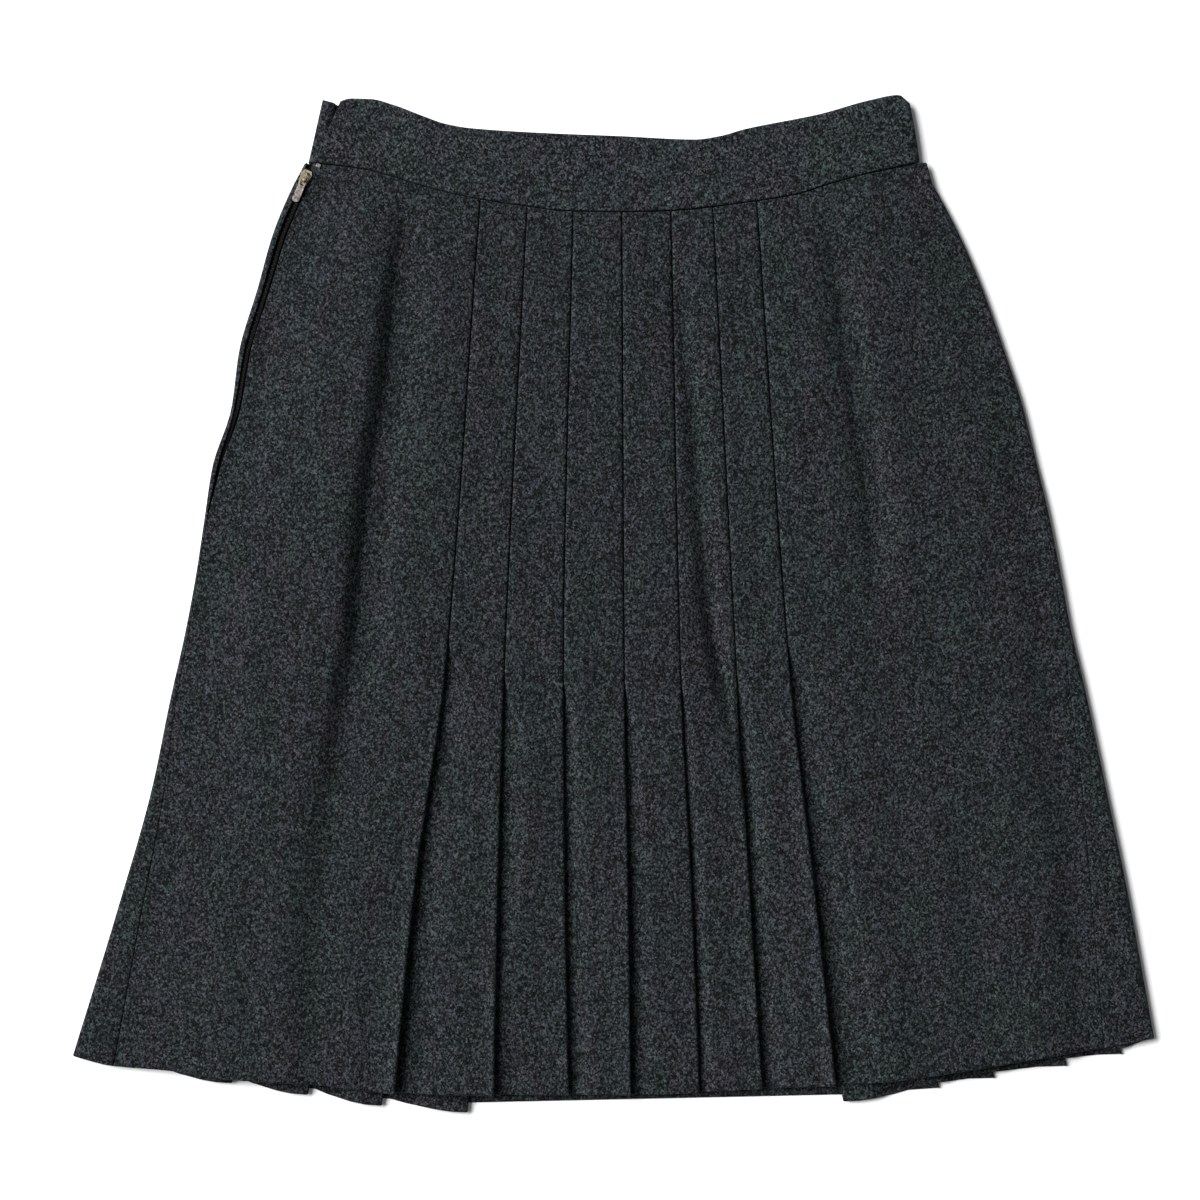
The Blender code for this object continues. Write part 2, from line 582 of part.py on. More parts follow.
def wall(name, rows, thickness, finish):
    """A closed wall of cloth about a mid-surface given as rows of points across the skirt."""
    faces_of = []
    for row in rows:
        above, below = [], []
        for i, point in enumerate(row):
            before = row[max(i - 1, 0)]
            after = row[min(i + 1, len(row) - 1)]
            run, climb = after.x - before.x, after.z - before.z
            length = math.hypot(run, climb)
            offset = Vector((-climb / length, 0.0, run / length)) * (thickness / 2)
            above.append(point + offset)
            below.append(point - offset)
        faces_of.append((above, below))
    count = len(rows[0])
    vertices = []
    for above, below in faces_of:
        vertices += above + below

    def upper(r, c):
        return r * 2 * count + c

    def lower(r, c):
        return r * 2 * count + count + c

    faces = []
    for r in range(len(rows) - 1):
        for c in range(count - 1):
            faces.append((upper(r, c), upper(r + 1, c), upper(r + 1, c + 1), upper(r, c + 1)))
            faces.append((lower(r, c), lower(r, c + 1), lower(r + 1, c + 1), lower(r + 1, c)))
        for c in (0, count - 1):
            faces.append((upper(r, c), lower(r, c), lower(r + 1, c), upper(r + 1, c)))
    for r in (0, len(rows) - 1):
        for c in range(count - 1):
            faces.append((upper(r, c), upper(r, c + 1), lower(r, c + 1), lower(r, c)))
    return add_object(name, vertices, faces, finish)


def band_stations():
    """Mid-line of the waistband, from its front end round to its back end: top x, seam x, height."""
    front_z = BAND_CLOTH * 1.5 + BAND_GAP
    back_z = BAND_CLOTH / 2
    radius = (front_z - back_z) / 2
    turn_top, turn_low = [x - BAND_CLOTH / 2 - radius for x in BAND_RIGHT]
    found = []
    for i in range(BAND_FRONT_COLUMNS):
        t = i / (BAND_FRONT_COLUMNS - 1)
        found.append((mix(BAND_LEFT[0], turn_top, t), mix(BAND_LEFT[1], turn_low, t), front_z))
    for i in range(1, BAND_TURN_COLUMNS):
        angle = math.pi * i / BAND_TURN_COLUMNS
        out = radius * math.sin(angle)
        z = (front_z + back_z) / 2 + radius * math.cos(angle)
        found.append((turn_top + out, turn_low + out, z))
    for i in range(BAND_BACK_COLUMNS):
        t = i / (BAND_BACK_COLUMNS - 1)
        top_x = mix(turn_top, BAND_BACK_LEFT[0], t)
        low_x = mix(turn_low, BAND_BACK_LEFT[1], t)
        found.append((top_x, low_x, back_z))
    return found


def waistband():
    """One strip, two thick layers on each other, joined at the right and open at the left."""
    stations = band_stations()
    vertices, faces = [], []
    half = BAND_CLOTH / 2
    for i, (top_x, low_x, z) in enumerate(stations):
        before = stations[max(i - 1, 0)]
        after = stations[min(i + 1, len(stations) - 1)]
        run = after[0] - before[0]
        climb = after[2] - before[2]
        length = math.hypot(run, climb)
        normal = Vector((-climb / length, 0.0, run / length))
        y_top = edge_y(BAND_TOP, max(top_x, BAND_TOP[0].x))
        if z < BAND_CLOTH:
            y_top -= BAND_BACK_DROP
        if top_x < BAND_TOP[0].x:
            y_top -= BAND_BACK_SLOPE * (BAND_TOP[0].x - top_x)
        y_low = edge_y(WAIST_SEAM, low_x) + SEAM_GAP / 2
        top = Vector((top_x, y_top, z))
        low = Vector((low_x, y_low, z))
        down = (low - top).normalized()
        inner = half - BAND_BEVEL_IN
        ring = [
            top + normal * inner, top + down * BAND_BEVEL + normal * half,
            low - down * BAND_BEVEL + normal * half, low + normal * inner,
            low - normal * inner, low - down * BAND_BEVEL - normal * half,
            top + down * BAND_BEVEL - normal * half, top - normal * inner,
        ]
        vertices += ring
    size = 8
    for i in range(len(stations) - 1):
        for k in range(size):
            a, b = i * size + k, i * size + (k + 1) % size
            faces.append((a, b, b + size, a + size))
    faces.append(tuple(range(size)))
    faces.append(tuple(range((len(stations) - 1) * size, len(stations) * size)))
    return add_object("waistband", vertices, faces, "flannel")


def zip_tape():
    """Both tapes and the closed chain between them, inside the left side opening."""
    shares = [TAPE_START] + [s for s in ROWS if TAPE_START < s < TAPE_END] + [TAPE_END]
    vertices, faces = [], []
    for share in shares:
        silhouette = section(share, "left")
        seam = section(share, "left_seam")
        slot = section(share, "slot")
        left = silhouette + TAPE_INSET
        right = silhouette + side_fold(seam)[0] + TAPE_UNDER
        middle = silhouette + SIDE_HEIGHT / 2 - (seam + slot / 2)
        half = CHAIN_HALF_WIDTH
        crown = half * CHAIN_CROWN
        top = CHAIN_TOP if share <= CHAIN_END else TAPE_TOP + CHAIN_FADE
        profile = [
            (left, TAPE_BOTTOM), (right, TAPE_BOTTOM), (right, TAPE_TOP), (middle + half, TAPE_TOP),
            (middle + crown, top), (middle - crown, top), (middle - half, TAPE_TOP),
            (left, TAPE_TOP),
        ]
        for x, z in profile:
            y_top = edge_y(WAIST_SEAM, section(0.0, "left") + x - silhouette) - WAIST_GAP
            y_low = edge_y(FRONT_HEM, section(1.0, "left") + x - silhouette)
            vertices.append(Vector((x, mix(y_top, y_low, share), z)))
    size = 8
    for i in range(len(shares) - 1):
        for k in range(size):
            a, b = i * size + k, i * size + (k + 1) % size
            faces.append((a, b, b + size, a + size))
    faces.append(tuple(range(size)))
    faces.append(tuple(range((len(shares) - 1) * size, len(shares) * size)))
    return add_object("zip_tape", vertices, faces, "tape")


def slider_frame():
    """World placing of the slider: its own x is across, y along the zip and z up, origin in between."""
    axes = Matrix((SLIDER_ACROSS, -SLIDER_ALONG, Vector((0.0, 0.0, 1.0)))).transposed().to_4x4()
    return Matrix.Translation(SLIDER_AT * MM) @ axes


def prism(profile, low, high, axis):
    """Vertices and faces of an outline drawn across one axis and run from low to high along it."""
    def place(a, b, c):
        return (c, a, b) if axis == "x" else (a, b, c)

    count = len(profile)
    vertices = [place(a, b, low) for a, b in profile] + [place(a, b, high) for a, b in profile]
    faces = [tuple(range(count)), tuple(range(count, 2 * count))]
    faces += [(i, (i + 1) % count, count + (i + 1) % count, count + i) for i in range(count)]
    return vertices, faces


def join_pieces(name, pieces, finish):
    """Overlapping prisms joined into one solid."""
    target = None
    for number, (vertices, faces) in enumerate(pieces):
        part = add_object(name if number == 0 else f"{name}_{number}", vertices, faces, finish)
        if target is None:
            target = part
            continue
        joint = target.modifiers.new("union", "BOOLEAN")
        joint.operation = "UNION"
        joint.solver = "EXACT"
        joint.object = part
        evaluated = target.evaluated_get(bpy.context.evaluated_depsgraph_get())
        joined = bpy.data.meshes.new_from_object(evaluated)
        target.modifiers.clear()
        target.data = joined
        bpy.data.objects.remove(part, do_unlink=True)
    return target


def zip_slider():
    """Plate over the chain, a core between the cloth edges, and the bridge that holds the tab."""
    half, half_length = SLIDER_WIDTH / 2, SLIDER_LENGTH / 2
    shoulder, nose, tail = half_length * SLIDER_SHOULDER, half * SLIDER_NOSE, half * SLIDER_TAIL
    plate = [
        (-half, shoulder), (-nose, half_length), (nose, half_length),
        (half, shoulder), (tail, -half_length), (-tail, -half_length),
    ]
    core_half, core_reach = SLIDER_CORE_WIDTH / 2, half_length * SLIDER_CORE_SHARE
    core = [
        (-core_half, core_reach), (core_half, core_reach),
        (core_half, -core_reach), (-core_half, -core_reach),
    ]
    foot = SLIDER_PLATE_TOP - JOIN
    near, far = BRIDGE_OUTER
    inner_near, inner_far = BRIDGE_INNER
    bevel, bend = BRIDGE_BEVEL[0], BRIDGE_TOP - BRIDGE_BEVEL[1]
    bridge = [
        (near, foot), (near, bend), (near + bevel, BRIDGE_TOP), (far - bevel, BRIDGE_TOP),
        (far, bend), (far, foot), (inner_far, foot), (inner_far, BRIDGE_INNER_TOP),
        (inner_near, BRIDGE_INNER_TOP), (inner_near, foot),
    ]
    pieces = [
        prism(plate, SLIDER_PLATE_BOTTOM, SLIDER_PLATE_TOP, "z"),
        prism(core, SLIDER_CORE_BOTTOM, SLIDER_PLATE_BOTTOM + JOIN, "z"),
        prism(bridge, -BRIDGE_WIDTH / 2, BRIDGE_WIDTH / 2, "x"),
    ]
    slider = join_pieces("zip_slider", pieces, "brass")
    slider.matrix_world = slider_frame()
    return slider


def zip_pull():
    """Flat tab with an eye: its end rod lies in the bridge. The object's origin is on the rod's axis."""
    rod = [
        (PULL_ROD_RADIUS * math.cos(2 * math.pi * i / PULL_ROD_SIDES),
         PULL_ROD_RADIUS * math.sin(2 * math.pi * i / PULL_ROD_SIDES))
        for i in range(PULL_ROD_SIDES)
    ]
    half = PULL_THICKNESS / 2
    arm_half = half * PULL_ARM_SHARE
    arm_end = -PULL_EYE_END - PULL_EYE_JOIN
    arm = [(0.0, -arm_half), (0.0, arm_half), (arm_end, arm_half), (arm_end, -arm_half)]
    wide, round_from = PULL_HALF_WIDTH * PULL_FLARE, -PULL_LENGTH + PULL_ROUNDING
    tab = [(-PULL_HALF_WIDTH, -PULL_EYE_END), (-wide, round_from)]
    for i in range(1, PULL_ROUND_SIDES):
        angle = math.pi * i / PULL_ROUND_SIDES
        tab.append((-wide * math.cos(angle), round_from - PULL_ROUNDING * math.sin(angle)))
    tab += [(wide, round_from), (PULL_HALF_WIDTH, -PULL_EYE_END)]
    rod_end = PULL_HALF_WIDTH - PULL_ROD_INSET
    pieces = [
        prism(rod, -rod_end, rod_end, "x"),
        prism(arm, -PULL_HALF_WIDTH, -PULL_EYE_HALF, "x"),
        prism(arm, PULL_EYE_HALF, PULL_HALF_WIDTH, "x"),
        prism(tab, -half, half, "z"),
    ]
    pull = join_pieces("zip_pull", pieces, "silver")
    hinge = Matrix.Translation(Vector((0.0, -HINGE_ALONG, HINGE_HEIGHT)) * MM)
    droop = Matrix.Rotation(PULL_DROOP, 4, "X")
    pull.matrix_world = slider_frame() @ hinge @ droop
    return pull


def build():
    clear_scene()
    wall("back_panel", back_rows(), CLOTH, "flannel")
    wall("front_panel", front_rows(), CLOTH, "flannel")
    waistband()
    zip_tape()
    zip_slider()
    zip_pull()
    for item in bpy.data.objects:
        item.location += CENTRE * MM


build()
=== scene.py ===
"""Looks of a pleated wool flannel skirt, laid flat with its front up.

The skirt lies on z = 0: +X is the viewer's right, +Y points to the waist. The cloth pieces are thin
closed shells on the form of their solids, worked out row by row from the waist seam (share 0) to
the hem (share 1). Tables and sizes are in millimetres, meshes in metres.
"""

import math
from collections import namedtuple

import bpy
import numpy as np
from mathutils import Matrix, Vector

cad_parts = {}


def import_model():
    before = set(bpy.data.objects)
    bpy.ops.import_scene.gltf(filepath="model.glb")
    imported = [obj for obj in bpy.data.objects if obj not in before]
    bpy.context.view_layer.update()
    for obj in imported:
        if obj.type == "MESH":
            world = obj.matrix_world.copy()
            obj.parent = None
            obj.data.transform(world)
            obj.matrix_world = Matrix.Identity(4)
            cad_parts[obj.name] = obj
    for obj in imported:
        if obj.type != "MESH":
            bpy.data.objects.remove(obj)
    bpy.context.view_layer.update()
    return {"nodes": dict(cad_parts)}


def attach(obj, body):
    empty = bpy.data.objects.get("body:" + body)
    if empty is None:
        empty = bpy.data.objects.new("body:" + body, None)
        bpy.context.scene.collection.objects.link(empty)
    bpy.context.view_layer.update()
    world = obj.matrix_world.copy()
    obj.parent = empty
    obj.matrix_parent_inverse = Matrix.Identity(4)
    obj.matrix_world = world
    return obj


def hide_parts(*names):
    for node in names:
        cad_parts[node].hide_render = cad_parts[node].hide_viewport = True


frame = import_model()

MM = 0.001

# ---------------- sizes, in millimetres, and shares
CLOTH = 1.0  # thickness of the flannel
LAYER_GAP = 0.35  # air between the layers of a pressed pleat
LAYER = CLOTH + LAYER_GAP
STACK = 3 * CLOTH + 2 * LAYER_GAP
SEAM_GAP = 0.3  # air between two pieces at a seam
SEAM_AIR = 0.12  # between the front and the back where they are sewn together
WAIST_GAP = 0.35  # how far the panels stop short of the waist seam
FLOOR = STACK + 0.4  # lowest the front lies over the back's pleats
REST_GAP = 0.3  # air under the front where it is a single layer
BACK_SINGLE = 1.0  # height of the back where it is one layer
SIDE_HEIGHT = FLOOR + REST_GAP + CLOTH  # outer height of the rounded side folds
SIDE_RADIUS = (SIDE_HEIGHT - CLOTH) / 2
REST_AIR = 0.15  # least air between a trough of the front and the back
PRESSED = 0.1  # what is left of the layers' spacing where they touch the back
LEVELS = [CLOTH / 2 + i * LAYER for i in range(3)]  # mid-heights of a pleat's three layers
FOLD_REACH = LAYER / 2 + CLOTH / 2  # from a fold's centre to its outer face
CENTRE = np.array([0.85, 0.82, 0.0])  # added to all places: it brings the outline's middle to 0

# The front's plain sides rise from the side folds, and it sinks over the back's plain middle.
SIDE_RISE = 34.0  # width over which a plain side rises
PUFF, PUFF_RISE = 0.9, 8.0  # how far it bulges, and over what width
SOFT_RISE = 22.0  # width in from the silhouette over which the soft folds fade in
MIDDLE_X = 22.0  # where the plain middle has its centre
MIDDLE_DIP = 2.4  # how far the middle sinks at the hem
MIDDLE_REACH = (30.0, 92.0)  # its half width at the waist and at the hem
MIDDLE_EDGE = 16.0  # width over which it sinks
MIDDLE_FROM, MIDDLE_OVER = 0.55, 0.35  # share where it starts to sink, and over how long

# The layers are pressed together close to the waist seam, but not at the zip.
SQUEEZE, SQUEEZE_LENGTH = 0.24, 0.05  # how much of the height goes, and over what share
SQUEEZE_FROM, SQUEEZE_OVER = -166.0, 22.0  # x where it starts, and over what width

BAND_CLOTH = 2.8  # two layers of flannel with interfacing
BAND_GAP = 0.6  # air between the front and the back of the band

Section = namedtuple("Section", "share left left_seam slot right right_seam")
SECTIONS = tuple(map(Section._make, (
    (0, -174.9, -1.8, 2.8, 172.1, 3.4),
    (0.03, -182.8, -6, 4.4, 181.1, 3.4),
    (0.08, -193.2, -5.5, 4.2, 194.1, 3.4),
    (0.14, -201.7, -4.6, 3.8, 207, 3.4),
    (0.21, -212.1, -4, 3.4, 219.4, 3.4),
    (0.275, -216.6, -2.6, 3.2, 230.1, 3.3),
    (0.34, -227.2, -1.8, 1.8, 237.7, 2.4),
    (0.4, -231.8, 1, 0.5, 244.7, 0.5),
    (0.465, -236.8, 1.2, 0.3, 251.2, -0.4),
    (0.53, -243, 0.7, 0.3, 257.1, -2.1),
    (0.6, -250.9, -0.7, 0.3, 265.2, -6),
    (0.7, -261.3, -4.3, 0.3, 275.6, -10.2),
    (0.84, -281.3, -11, 0.3, 290, -18.5),
    (1, -306, -20.9, 0.3, 304.3, -26),
)))

Point = namedtuple("Point", "x y")
WAIST_SEAM = tuple(map(Point._make, (
    (-174.9, 249.5), (-145.1, 246.1), (-126.6, 241.6), (-108.6, 236.0), (-85.5, 230.3),
    (-51.2, 224.7), (-28.1, 221.9), (2.8, 221.3), (30.4, 221.9), (76.5, 227.0), (101.2, 230.9),
    (123.2, 237.7), (146.2, 243.8), (172.7, 249.5),
)))
BAND_TOP = tuple(map(Point._make, (
    (-157.5, 282.6), (-149.0, 285.3), (-137.8, 285.0), (-123.8, 281.3), (-109.7, 275.9),
    (-95.6, 271.0), (-81.6, 268.6), (-39.4, 265.8), (2.8, 264.1), (45.0, 262.2), (59.1, 264.1),
    (73.1, 268.0), (115.3, 276.5), (143.4, 284.3), (160.0, 287.3), (166.5, 281.5),
)))
FRONT_HEM = tuple(map(Point._make, (
    (-306.0, -254.5), (-282.4, -260.2), (-251.4, -262.4), (-216.0, -267.5), (-170.4, -270.3),
    (-124.3, -275.1), (-64.7, -276.5), (10.1, -276.5), (83.2, -272.9), (124.9, -270.8),
    (154.7, -268.6), (202.5, -261.8), (242.4, -255.0), (275.6, -250.0), (304.3, -244.5),
)))

# Front pleats from left to right, as in the solids. opens is the share where the stitching ends,
# lift how far the released crease stands up at the hem, trench the flat floor beside it and rise
# the long slope up to the next panel.
Pleat = namedtuple("Pleat", "waist release low hem depth_waist depth_hem opens lift trench rise")
FRONT_PLEATS = (
    Pleat(-75.9, -95.6, -112.5, -123.8, 8.5, 21, 0.49, 3.8, 4.6, 26),
    Pleat(-49.5, -62.4, -65.8, -68.1, 8.5, 22, 0.525, 2.2, 3.4, 17),
    Pleat(-23.6, -29, -28.1, -25.9, 8.5, 19, 0.53, 1.3, 2.4, 13),
    Pleat(3.9, 5.3, 7.6, 9, 8.5, 17, 0.53, 2.4, 4.4, 11),
    Pleat(31.5, 37.1, 43.3, 47.8, 8.5, 18, 0.53, 0.7, 1.5, 8),
    Pleat(55.1, 68.6, 75.9, 83.2, 8, 18, 0.53, 1.8, 3.4, 10),
    Pleat(79.9, 98.4, 111.9, 124.3, 8, 20, 0.5, 3.2, 5, 20),
)
PLEAT_STOPS = (0.0, 0.53, 0.77, 1.0)  # shares of the four crease columns
STITCHED_TRENCH, STITCHED_RISE = 0.2, 0.9  # the two widths where the pleat is stitched down
OPENING = 0.05  # share over which a pleat opens below its stitching
FIRST_TRENCH, FIRST_RISE = 0.35, 0.5  # share of the two widths where it has just opened
PANEL_LIFT = 0.3  # how far a panel lies over a pleat's top layer
PANEL_TOP = LEVELS[2] + PANEL_LIFT
LEAD = 9.0  # how far left of a crease it starts to lift
LEAD_STEPS = (0.3, 0.55, 0.78, 0.92)
LEAD_BEND = 0.6  # how much the lift bends over towards the crease
LEAD_SOFT = 0.6  # how much of the soft folds is gone at the crease
UNDER_LIFT = 0.45  # share of the lift that the middle layer takes on
UNDER_STOP = 0.4  # the lowest layer's last column, left of the crease
SLOPE_STEPS = (0.0, 0.14, 0.28, 0.42, 0.56, 0.7, 0.85, 1.0)

BackPleat = namedtuple("BackPleat", "side waist hem depth_waist depth_hem hem_crease hem_under")
BACK_PLEATS = tuple(map(BackPleat._make, (
    (-1, -135, -255.9, 7, 13, -262.4, -261.8),
    (-1, -111, -216, 7, 15, -270, -265.8),
    (-1, -87, -173.2, 8, 16, -276.5, -272),
    (-1, -62, -131.6, 8, 16, -282.7, -277.9),
    (-1, -37, -83.2, 8, 17, -286.6, -281.8),
    (1, 43, 128.8, 8, 15, -280.4, -276.5),
    (1, 68, 169.3, 8, 14, -270, -273.1),
    (1, 93, 202.5, 8, 12, -264.1, -267.5),
    (1, 116, 242.4, 7, 13, -256.2, -260.7),
    (1, 138, 275.6, 7, 11, -251.2, -254),
)))
INNER_PLEATS = (BACK_PLEATS[4], BACK_PLEATS[5])  # the two beside the plain middle
BACK_SLOPE_REST = 0.45  # share of the free width where a back panel starts to climb
CLIMB_MARGIN = 1.0  # the climb ends this far before the fold under it
BACK_STEP = 8.0  # width over which the front feels the inner pleats end
FREE_STEPS, CLIMB_STEPS = (0.35, 0.7, 1.0), (0.2, 0.4, 0.6, 0.8, 1.0)

# How the hem runs across a back pleat, column by column: 0 is its height where the last pleat
# ended, 1 at this pleat's crease and 2 where the cloth comes out from under it.
FREE_HEM, CLIMB_HEM, TOP_HEM = 0.45, 0.8, 0.95
CREASE_HEMS, MIDDLE_HEM, UNDER_HEMS = (1.0, 1.0, 1.0, 1.1, 1.2), 1.6, (1.9, 2.0, 2.0, 2.0, 2.0)

# Soft folds, as nodes from top to bottom. left and right are the widths of the two flanks, and a
# height below zero is a trough.
FOLD_FADE = 14.0  # length over which a fold with height at its first node fades in
Node = namedtuple("Node", "x y left right height")
FOLD_ROWS = {
    "left_ridge": (
        (-131, 222, 14, 7, 0), (-133, 193.8, 26, 8, 1.8), (-139.5, 137.5, 32, 8.5, 3.4),
        (-151.5, 47.5, 34, 8.5, 3.8), (-158.5, -20, 34, 8.5, 3.6), (-164.5, -53.7, 30, 9, 2.6),
        (-174, -110, 24, 10, 1.5), (-184, -194.3, 18, 11, 1), (-186, -272, 16, 11, 0.6),
    ),
    "left_trough": (
        (-116.8, 232, 5, 6, 0), (-118.9, 205, 6, 9, -2.9), (-125.6, 137.5, 7, 13, -4.6),
        (-137.6, 47.5, 7, 15, -4.8), (-144.2, -20, 7, 15, -4.4), (-150, -53.7, 8, 14, -3.6),
        (-157, -110, 11, 14, -2.6), (-166, -194.3, 12, 14, -2), (-170, -270.3, 12, 14, -1.6),
    ),
    "low_left_trough": (
        (-210.9, 2.5, 9, 12, 0), (-217.7, -65, 9, 12, -0.8), (-226.7, -132.5, 9, 12, -1.4),
        (-239.1, -200, 9, 12, -1.4), (-244.7, -261.8, 9, 12, -0.9),
    ),
    "pleat_side_trough": (
        (-132.2, -143.7, 6, 8, 0), (-136.7, -200, 6, 8, -1.1), (-141.2, -272, 6, 8, -1.3),
    ),
    "right_trough": (
        (120.8, 220, 6, 6, 0), (127.6, 176.9, 7, 9, -2.9), (133.8, 143.2, 7.5, 9, -4.3),
        (139.8, 103.8, 7.5, 9, -4.7), (144.4, 70, 7, 9, -4.1), (148.4, 25, 7, 8, -2.8),
        (150.1, -12, 6, 8, 0),
    ),
    "right_ridge": (
        (138, 205, 7, 10, 0), (147, 130, 7, 12, 1.1), (157, 60, 7, 12, 0.9), (163, 0, 8, 12, 0),
    ),
    "outer_right_trough": (
        (149, 243, 4, 4, -0.5), (157.5, 210.7, 4.5, 5, -1.1), (163.1, 193.8, 4.5, 5, -1.2),
        (168.8, 165.7, 5, 6, -1), (178, 120, 8, 8, -0.6), (186, 60, 8, 8, 0),
    ),
    "middle_trough": (
        (34.3, 205, 5, 4, 0), (39.2, 148.8, 5, 6, -2.1), (43.2, 115, 5, 6.5, -2.8),
        (48.8, 47.5, 4.8, 6.5, -3.4), (53.9, -8.7, 4.5, 7, -4.6), (61, -42.5, 4.5, 7, -5.2),
        (67.5, -70, 4.5, 7, -4.6), (74, -100, 4.5, 6, -2.4), (79, -130, 4.5, 5, 0),
    ),
    "hip_trough": (
        (208.7, 75.7, 6, 5, 0), (212.1, 53.2, 7, 5, -0.9), (214.9, 19.4, 9, 6, -0.7),
        (213, -30, 11, 8, -0.7), (206, -70, 12, 10, 0),
    ),
    "second_panel_ripple": (
        (-34, 190, 5, 5, 0), (-33, 130, 6, 5, -0.5), (-36, 60, 6, 5, -0.45), (-38, 10, 6, 5, 0),
    ),
    "side_panel_ripple": (
        (-107, 210, 6, 6, 0), (-110, 140, 7, 6, -0.5), (-117, 80, 7, 6, 0),
    ),
    "low_right_swell": (
        (232, -70, 20, 14, 0), (240, -150, 22, 14, 0.9), (250, -245, 22, 14, 0.8),
    ),
    "low_right_trough": (
        (195, -95, 14, 14, 0), (201, -150, 15, 12, -0.8), (212, -215, 14, 12, -0.7),
        (218, -262, 12, 10, -0.5),
    ),
    "waist_pull_left": (
        (-148, 246, 5, 5, -0.7), (-152, 215, 7, 7, -0.4), (-158, 180, 9, 9, 0),
    ),
}
FOLDS = {name: tuple(Node(*row) for row in rows) for name, rows in FOLD_ROWS.items()}

# Small uneven swells of the cloth: wavelengths across and along, height and phase.
SWELL_SHARE = 0.8  # how much of them the front takes on
Swell = namedtuple("Swell", "across along height phase")
SWELLS = (
    Swell(31.0, 260.0, 0.16, 0.3), Swell(19.0, 170.0, 0.09, 1.9), Swell(47.0, 410.0, 0.22, 4.1),
    Swell(-13.0, 120.0, 0.05, 2.4), Swell(-27.0, 330.0, 0.12, 5.2), Swell(9.0, 75.0, 0.03, 0.8),
)

# The line pressed into the front where the pleats' stitching ends.
PRESS_Y, PRESS_WIDTH, PRESS_DEPTH = -43.0, 2.2, 0.8
PRESS_FROM, PRESS_TO = -99.0, 152.0
PRESS_FADES = (14.0, 24.0)  # widths over which it fades at its left and right end

ROW_COUNT, ROW_SAMPLES = 138, 4001

# Where rows lie closer, as share, width and extra density: the pleats' opening, waist and hem.
ROW_CROWDS = (
    ((0.535, 0.03, 5.0),),
    ((0.0, 0.006, 9.0), (0.0, 0.04, 3.0)),
    ((1.0, 0.004, 9.0), (1.0, 0.03, 1.5)),
)
COLUMNS = {"left_side": 18, "left_fold": 22, "left_pleat": 13, "right_inner": 12, "right_fold": 17,
           "right_between": 7, "right_outer": 9, "right_side": 17, "panel": 9}

# Where the close columns of the three deep troughs start and end, from the trough's middle.
LEFT_SPAN, RIGHT_SPAN, OUTER_SPAN = (-20.0, 16.0), (-14.0, 13.0), (4.0, 26.0)
TROUGH_TOP, TROUGH_FOOT = 240.0, -270.0  # y taken for the waist and the hem when they are placed
TROUGH_ROOM = 18.0  # least width between a trough's middle and the pleat beside it
PANEL_ROOM = 0.5  # least width of a panel between two pleats
EDGE_STEPS = (0.0, 0.12, 0.3, 0.55, 0.9, 1.6, 2.6, 4.0, 5.5)  # distances from the seam

SIDE_STEPS, SIDE_TURN_COLUMNS = (0.0, 0.06, 0.16, 0.3, 0.5, 0.75), 14
SLOT_ALONG = 1.15  # length round the side fold for each millimetre of the zip's slot
BACK_EDGE = 0.8  # width of the back's edge before the side fold's turn
BACK_MIDDLE_COLUMNS = 13


# ---------------- numbers and curves
def smooth_curve(keys, values, at):
    """A curve through the given values that never overshoots them, at one or many places."""
    keys, values = np.asarray(keys, float), np.asarray(values, float)
    at = np.clip(np.asarray(at, float), keys[0], keys[-1])
    span = np.diff(keys)
    steps = np.diff(values) / span
    slope = np.empty(len(keys))
    slope[0], slope[-1] = steps[0], steps[-1]
    product, total = steps[:-1] * steps[1:], steps[:-1] + steps[1:]
    slope[1:-1] = np.where(product > 0, 2 * product / np.where(product > 0, total, 1.0), 0.0)
    i = np.clip(np.searchsorted(keys, at, side="right") - 1, 0, len(keys) - 2)
    t = (at - keys[i]) / span[i]
    start = (1 + 2 * t) * (1 - t) ** 2 * values[i] + t * (1 - t) ** 2 * span[i] * slope[i]
    end = t * t * (3 - 2 * t) * values[i + 1] + t * t * (t - 1) * span[i] * slope[i + 1]
    return start + end


def section(share, column):
    return smooth_curve([r.share for r in SECTIONS], [getattr(r, column) for r in SECTIONS], share)


def edge_y(points, x):
    return smooth_curve([p.x for p in points], [p.y for p in points], x)


def ease(t):
    t = np.clip(t, 0.0, 1.0)
    return t * t * (3 - 2 * t)


def mix(a, b, t):
    return a + (b - a) * t


def fold_value(nodes, name, y):
    return smooth_curve([-n.y for n in nodes], [getattr(n, name) for n in nodes], -y)


def fold_height(x, y):
    """Sum of the soft folds at points of the front."""
    total = np.zeros(np.shape(x))
    for nodes in FOLDS.values():
        off = x - fold_value(nodes, "x", y)
        width = np.where(off < 0, fold_value(nodes, "left", y), fold_value(nodes, "right", y))
        fades = ease((nodes[0].y + FOLD_FADE - y) / FOLD_FADE) if nodes[0].height else 1.0
        total += fades * fold_value(nodes, "height", y) * np.exp(-((off / width) ** 2))
    return total


def swell_height(x, y):
    total = np.zeros(np.shape(x))
    for s in SWELLS:
        total += s.height * np.sin(2 * np.pi * (x / s.across + y / s.along) + s.phase)
    return total


def press_height(x, y):
    """The faint line across the front where the stitching ends."""
    inside = ease((x - PRESS_FROM) / PRESS_FADES[0]) * ease((PRESS_TO - x) / PRESS_FADES[1])
    return -PRESS_DEPTH * inside * np.exp(-(((y - PRESS_Y) / PRESS_WIDTH) ** 2))


